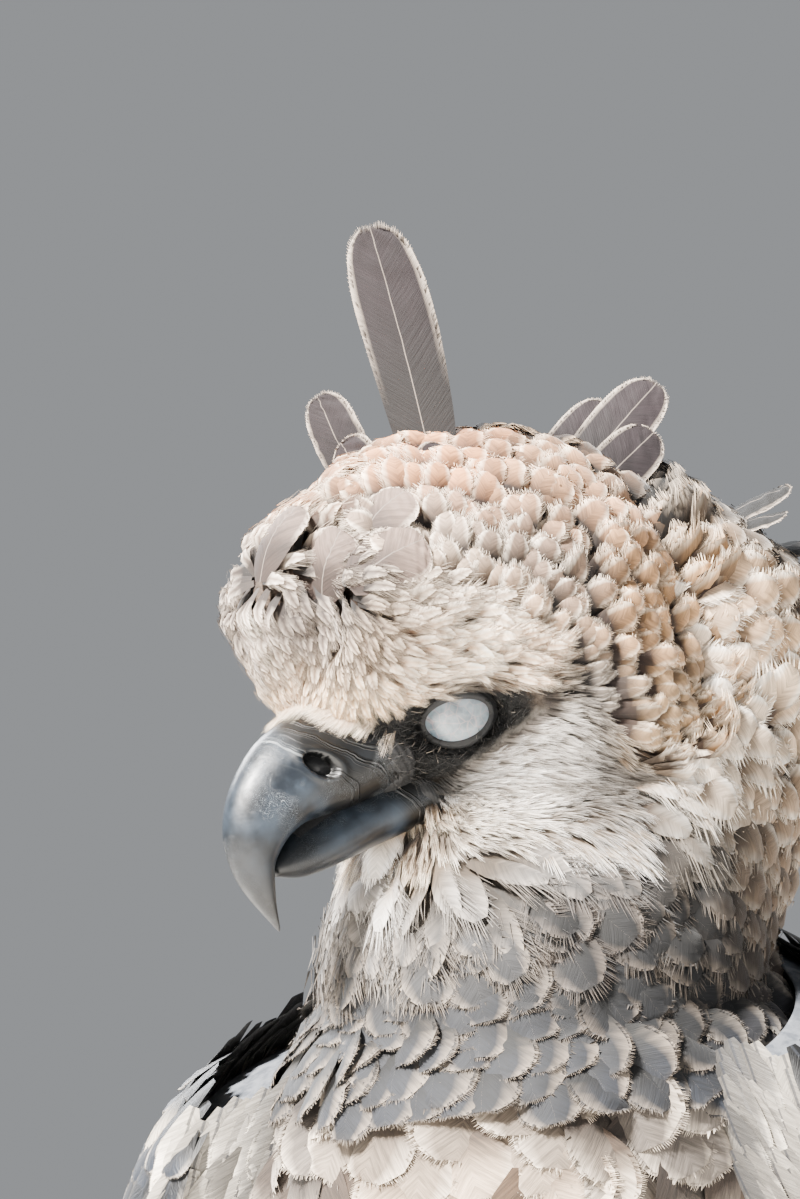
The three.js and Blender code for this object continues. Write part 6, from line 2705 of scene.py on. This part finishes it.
@dataclass
class Tail:
    """The long barred tail and the coverts over the stump that carries it."""

    draw: np.random.Generator
    long: float = 400.0
    slope: float = 34.5
    feathers: int = 12
    width: float = 46.0
    apart: float = 8.5
    spread: float = 9.0
    stack: float = 1.15
    stump: tuple[float, float, float] = (170.0, 46.0, 28.0)  # length, half width, half height

    def at(self, back: np.ndarray, side: np.ndarray, up: np.ndarray) -> np.ndarray:
        """A point given as how far back along the tail, sideways and up.

        Args:
            back: How far back.
            side: How far to the left.
            up: How far up.

        Returns:
            The points.
        """
        slope = math.radians(self.slope)
        back, side, up = np.broadcast_arrays(back, side, up)
        along = back[..., None] * np.array([0, math.cos(slope), -math.sin(slope)])
        rise = up[..., None] * np.array([0, math.sin(slope), math.cos(slope)])
        return Torso.back + along + rise + side[..., None] * np.array([1.0, 0, 0])

    def build(self, finish: bpy.types.Material, coverts: bpy.types.Material) -> None:
        """Makes the tail's pieces.

        Args:
            finish: The long feathers' finish.
            coverts: The short feathers' finish.
        """
        t = np.linspace(0, REACH, 14)
        lines = []
        for k in range(self.feathers // 2):
            for side in (-1, 1):
                root = side * (0.5 + k) * self.apart * 0.5
                tip = side * (0.5 + k) * (self.apart + self.spread)
                level = 6 - (2 * k + (side > 0)) * self.stack
                long = self.long * (1 - 0.0036 * k * k)
                lines.append(self.at(mix(10, long, t), mix(root, tip, t), level * mix(0.75, 1, t)))
        count = len(lines)
        up = self.at(0.0, 0.0, 1.0) - Torso.back
        place = np.stack([np.linspace(0.86, 0.96, count), np.full(count, 0.66)], -1)
        main = np.tile(tone("8a857e"), (count, 1)) * np.exp(self.draw.normal(0, 0.05, (count, 1)))
        # The root tone is painted shade under the overlapping feathers
        root, edge = (np.tile(tone(code), (count, 1)) for code in ("4b4744", "b7b0a6"))
        vanes = Plumes(Cut.FLIGHT, np.array(lines), np.broadcast_to(up, (count, len(t), 3)),
                       np.full(count, self.width / 2), root, main, edge, place, cup=0.08, messy=0.0,
                       streak=0.6, bars=5.5)
        hand_over(vanes.mesh(self.draw).to_object("tail_feathers", finish), "plumage_tail", "tail")
        hand_over(self._coverts().mesh(self.draw).to_object("tail_coverts", coverts), "plumage_tail")

    def _coverts(self) -> Plumes:
        """The shorter feathers that lie over and under the tail's root.

        Returns:
            The feathers.
        """
        rows = []
        for sign in (1, -1):
            for row, start in enumerate((-20, 15, 50, 85)):
                for share in np.linspace(-1, 1, 9 - row):
                    rows.append((start, share, sign, row))
        t = np.linspace(0, REACH, 8)
        spine, normal = [], []
        up = self.at(0.0, 0.0, 1.0) - Torso.back
        for start, share, sign, row in rows:
            back = start + 72 * t
            along = np.clip((back + 40) / (self.stump[0] + 40), 0, 1)
            high = self.stump[2] * (1 - 0.75 * along**2) * dome(1 - along, 0.3)
            wide = mix(self.stump[1], 60, smooth(back, 60, 200)) * 0.95
            angle = share * 1.25
            spine.append(self.at(back, wide * math.sin(angle),
                                 sign * (high * math.cos(angle) + 2.5 - 0.3 * row)))
            out = up * math.cos(angle) * sign + np.array([math.sin(angle), 0, 0])
            normal.append(np.tile(out, (len(t), 1)))
        count = len(rows)
        top = np.array([sign > 0 for _, _, sign, _ in rows])[:, None]
        main = np.where(top, tone("83827f"), tone("e2dcd3")) * np.exp(self.draw.normal(0, 0.07, (count, 1)))
        # The root tone is painted shade under the overlapping feathers
        root = np.where(top, tone("4a4b4e"), tone("a8a199"))
        edge = np.where(top, tone("c3bfb8"), tone("f1ece4"))
        place = np.stack([self.draw.uniform(0.86, 0.97, count), self.draw.uniform(0.6, 0.65, count)], -1)
        return Plumes(Cut.COMBED, np.array(spine), np.array(normal), np.full(count, 15.0), root, main, edge,
                      place, cup=0.2, messy=0.06, streak=0.7)


@dataclass(frozen=True)
class Toe:
    """A toe: which way it points, how far it reaches, its thickness and its claw's length."""

    name: str
    heading: float
    reach: float
    radius: float
    claw: float


@dataclass
class Leg:
    """A scaled tarsus with four toes and their claws."""

    name: str
    ankle: tuple[float, float, float] = (62, 66, 132)
    foot: tuple[float, float, float] = (70, 20, 20)
    bend: float = 66.0
    tarsus: Stations = ((0, 15), (0.15, 13.5), (0.5, 12), (0.85, 13), (1, 15))
    toes: Sequence[Toe] = (Toe("hallux", 172, 50, 12, 70), Toe("inner", -36, 60, 11.5, 54),
                           Toe("middle", 0, 82, 11, 45), Toe("outer", 38, 66, 10, 38))
    rise: float = 122.0
    arc: float = 1.95
    thick: float = 0.7
    claw_tip: float = 0.8

    def build(self, scaled: bpy.types.Material, horn: bpy.types.Material) -> None:
        """Makes the leg's pieces.

        Args:
            scaled: The finish of shank and toes.
            horn: The finish of the claws.
        """
        side = SIDES[self.name]
        middle = (self.bend, (self.ankle[1] + self.foot[1]) / 2 + 3, (self.ankle[2] + self.foot[2]) / 2)
        path = [sided(point, side) for point in (self.ankle, middle, self.foot)]
        shank = self._scaled(Limb(path, self.tarsus), 96, 150, plates=15, plate_side=0.0, spread=70.0)
        hand_over(shank.to_object(f"shank_{self.name}", scaled), "scales", f"tarsus_{self.name}")
        toes, claws = [], []
        for toe in self.toes:
            heading = self._heading(toe, side)
            line = self._toe_path(toe, heading, side)
            r = toe.radius
            pads = ((0, r * 1.2), (0.3, r), (0.5, r * 1.08), (0.65, r * 0.88), (0.85, r * 1.02),
                    (1, r * 0.8))
            across = np.cross(heading, [0, 0, 1])
            limb = self._scaled(Limb(line, pads, 0.14, across), 64, 110, plates=int(toe.reach / 5.5),
                                plate_side=180.0, spread=64.0)
            toes.append(self._flat(limb))
            claws.append(self._flat(self._claw(toe, heading, line[-1]).grid(40, 60, 0.0)))
        hand_over(joined(toes).to_object(f"toes_{self.name}", scaled), "scales", f"foot_{self.name}")
        names = [f"claw_{toe.name}_{self.name}" for toe in self.toes]
        hand_over(joined(claws).to_object(f"talons_{self.name}", horn), "claws", *names)

    @staticmethod
    def _heading(toe: Toe, side: float) -> np.ndarray:
        """The level direction of a toe."""
        turn = math.radians(toe.heading)
        return np.array([side * math.sin(turn), -math.cos(turn), 0.0])

    def _toe_path(self, toe: Toe, heading: np.ndarray, side: float) -> list[np.ndarray]:
        """The middle line of a toe.

        Args:
            toe: The toe.
            heading: The toe's direction.
            side: 1 for the left, -1 for the right.

        Returns:
            Points along it.
        """
        foot = sided(self.foot, side)
        heights = ((0, toe.radius + 4), (0.3, toe.radius + 2), (0.65, toe.radius - 1.5),
                   (1, toe.radius + 1.5))
        line = [foot + heading * toe.reach * share for share, _ in heights]
        for point, (_, height) in zip(line, heights):
            point[2] = height
        return line

    def _claw(self, toe: Toe, heading: np.ndarray, end: np.ndarray) -> Limb:
        """A claw as an arc that leaves the toe's end rising and comes down to the floor.

        Args:
            toe: The toe.
            heading: The toe's direction.
            end: The toe's last point.

        Returns:
            The claw as a limb.
        """
        start = end - heading * 0.45 * toe.radius + np.array([0, 0, 0.1 * toe.radius])
        radius = toe.claw / self.arc
        first = math.radians(self.rise)
        up = np.array([0.0, 0.0, 1.0])
        centre = start - radius * (heading * math.cos(first) + up * math.sin(first))
        last = math.asin((self.claw_tip - centre[2]) / radius)
        angles = [mix(first, last, t) for t in (0, 0.2, 0.4, 0.6, 0.8, 1)]
        path = [centre + radius * (heading * math.cos(a) + up * math.sin(a)) for a in angles]
        t = toe.radius * self.thick
        taper = ((0, t), (0.25, t * 0.92), (0.6, t * 0.6), (0.85, t * 0.3), (1, 0.6))
        return Limb(path, taper, 0.05, np.cross(heading, up))

    @staticmethod
    def _flat(mesh: Mesh) -> Mesh:
        """The mesh with what would reach below the floor laid flat on it."""
        mesh.points[:, 2] = np.maximum(mesh.points[:, 2], 0)
        return mesh

    @staticmethod
    def _scaled(limb: Limb, around: int, rows: int, plates: int, plate_side: float, spread: float) -> Mesh:
        """A limb with broad plates along one side and small scales on the others.

        Args:
            limb: The limb.
            around: Faces round it.
            rows: Faces along it.
            plates: How many plates.
            plate_side: The angle of the plates' middle.
            spread: Half the plates' width in degrees.

        Returns:
            The mesh with its colours.
        """
        mesh = limb.grid(around, rows, 0.0)
        along, angle = np.meshgrid(eased(rows), np.arange(around) * 360 / around, indexing="ij")
        away = np.abs(folded_degrees(angle - plate_side))
        on = 1 - smooth(away, spread * 0.8, spread)
        wave = (along * plates + 0.18 * (away / spread) ** 2) % 1
        step = smooth(wave, 0.0, 0.14) * (1 - 0.55 * smooth(wave, 0.3, 1.0))
        small = np.abs(np.sin(along * plates * 2.1 * np.pi)) * np.abs(np.sin(np.radians(angle) * 9))
        height = on * (1.1 * step - 0.5) + (1 - on) * (0.55 * small - 0.3)
        mesh.points = np.vstack([limb.point(angle, along, height).reshape(-1, 3), mesh.points[-2:]])
        pale, deep = tone("d9b95c"), tone("a98a3d")
        shade = (on * step + (1 - on) * small)[..., None]
        colour = mix(deep, pale, shade).reshape(-1, 3)
        mesh.tint = np.hstack([np.vstack([colour, [pale, pale]]), np.ones((len(mesh.points), 1))])
        return mesh


@dataclass
class Studio:
    """The floor, the soft lights and the camera that keeps the photo's framing."""

    look: tuple[float, float, float] = (0.0, -50.0, 700.0)
    turn: float = 18.0  # degrees from straight in front towards the bird's left
    lift: float = -5.0  # degrees over the level
    away: float = 3000.0
    aside: tuple[float, float] = (-39.5, 30.8)  # the picture's middle, right and up of the look point
    wide: float = 235.3  # width of the picture at the bird
    # name, place and size in metres, watts, colour
    lights: Sequence[tuple] = (
        ("key", (-1.1, -2.3, 2.8), 0.5, 1550, (1.0, 0.96, 0.9)),
        ("fill", (2.4, -2.0, 1.0), 2.2, 36, (0.9, 0.95, 1.0)),
        ("rim", (-1.9, 1.2, 2.2), 1.0, 150, (0.95, 0.97, 1.0)),
    )

    def build(self, floor: bpy.types.Material) -> None:
        """Makes the floor, lights and camera.

        Args:
            floor: The floor's finish.
        """
        self._floor(floor)
        self._camera()
        for row in self.lights:
            self._light(*row)
        world = bpy.data.worlds.new("studio")
        world.use_nodes = True
        world.node_tree.nodes["Background"].inputs["Color"].default_value = (0.86, 0.89, 0.93, 1)
        world.node_tree.nodes["Background"].inputs["Strength"].default_value = 0.36
        bpy.context.scene.world = world

    def _floor(self, material: bpy.types.Material) -> None:
        """The floor that the bird stands on.

        Args:
            material: Its finish.
        """
        half = 6.0
        data = bpy.data.meshes.new("floor")
        data.from_pydata([(-half, -half, 0), (half, -half, 0), (half, half, 0), (-half, half, 0)], [],
                         [(0, 1, 2, 3)])
        data.materials.append(material)
        floor = bpy.data.objects.new("floor", data)
        bpy.context.scene.collection.objects.link(floor)

    def _light(self, name: str, place: tuple[float, float, float], size: float, power: float,
               colour: Colour) -> None:
        """A soft square light aimed at the bird's chest.

        Args:
            name: The light's name.
            place: Where it stands, in metres.
            size: How wide it is.
            power: Watts.
            colour: Its colour.
        """
        data = bpy.data.lights.new(name, "AREA")
        data.shape, data.size, data.energy, data.color = "SQUARE", size, power, colour
        light = bpy.data.objects.new(name, data)
        light.location = place
        toward = Vector((0, -0.2, 0.55)) - light.location
        light.rotation_euler = toward.to_track_quat("-Z", "Y").to_euler()
        bpy.context.scene.collection.objects.link(light)

    def _camera(self) -> None:
        """The camera, a long lens from a little below the head."""
        turn, lift = math.radians(self.turn), math.radians(self.lift)
        ahead = np.array([-math.sin(turn) * math.cos(lift), math.cos(turn) * math.cos(lift),
                          -math.sin(lift)])
        right = np.array([math.cos(turn), math.sin(turn), 0.0])
        up = np.cross(right, ahead)
        look = np.array(self.look)
        eye = look - ahead * self.away
        aim = look + right * self.aside[0] + up * self.aside[1]
        data = bpy.data.cameras.new("camera")
        data.sensor_fit, data.sensor_width = "HORIZONTAL", 36.0
        data.lens = data.sensor_width * self.away / self.wide
        data.clip_end = 100.0
        camera = bpy.data.objects.new("camera", data)
        camera.location = (eye - BOX_MIDDLE) / 1000
        camera.rotation_euler = Vector(aim - eye).to_track_quat("-Z", "Y").to_euler()
        bpy.context.scene.collection.objects.link(camera)
        bpy.context.scene.camera = camera


def main() -> None:
    """Builds the bird and the studio."""
    logging.basicConfig(level=logging.INFO, format="%(message)s")
    draw = np.random.default_rng(SEED)
    anatomy = Anatomy()
    soft = VaneFinish("feathers", shaft=0.0005, barbs=10.0).build()
    crisp = VaneFinish("crest_feathers", sheen=0.05, shaft=0.02, shaft_tone="6f665f").build()
    hair = VaneFinish("hair", sheen=0.2, shaft=0.0005, depth=0.0001).build()
    slate = VaneFinish("slate_feathers", roughness=0.5, sheen=0.1, barbs=12.0, shaft=0.06,
                       shaft_tone="23252a").build()
    dark = PlainFinish("dark_skin", "08080a", "141416", 0.7, 420.0, 0.0006).build()
    horn = HornFinish().build()
    claw = PlainFinish("claw_horn", "0b0b0d", "1a1a1d", 0.5, 60.0, 0.0003, 0.04).build()
    scaled = ScaleFinish().build()
    under = PlainFinish("wing_down", "3b3f46", "55585e", 0.9).build()
    membrane = MembraneFinish().build()
    bill = Bill(anatomy.head)
    eyes = [Eye(anatomy.head, name) for name in SIDES]
    skin = Skin(anatomy, bill, eyes).build(DownFinish())
    bill.build(horn, dark)
    for eye in eyes:
        eye.build(membrane, dark)
    Bristles(anatomy.head, eyes, draw).build(skin, soft)
    BodyCoat(anatomy, bill, eyes, draw).build(soft, hair)
    Crest(anatomy.head, draw).build(crisp)
    for name in SIDES:
        Wing(name, draw).build(slate, under)
    Tail(draw).build(slate, soft)
    for name in SIDES:
        Leg(name).build(scaled, claw)
    Studio().build(PlainFinish("floor", "dcdad6", "d2d0cc", 0.9, 3.0, 0.0001).build())


if __name__ == "__main__":
    main()
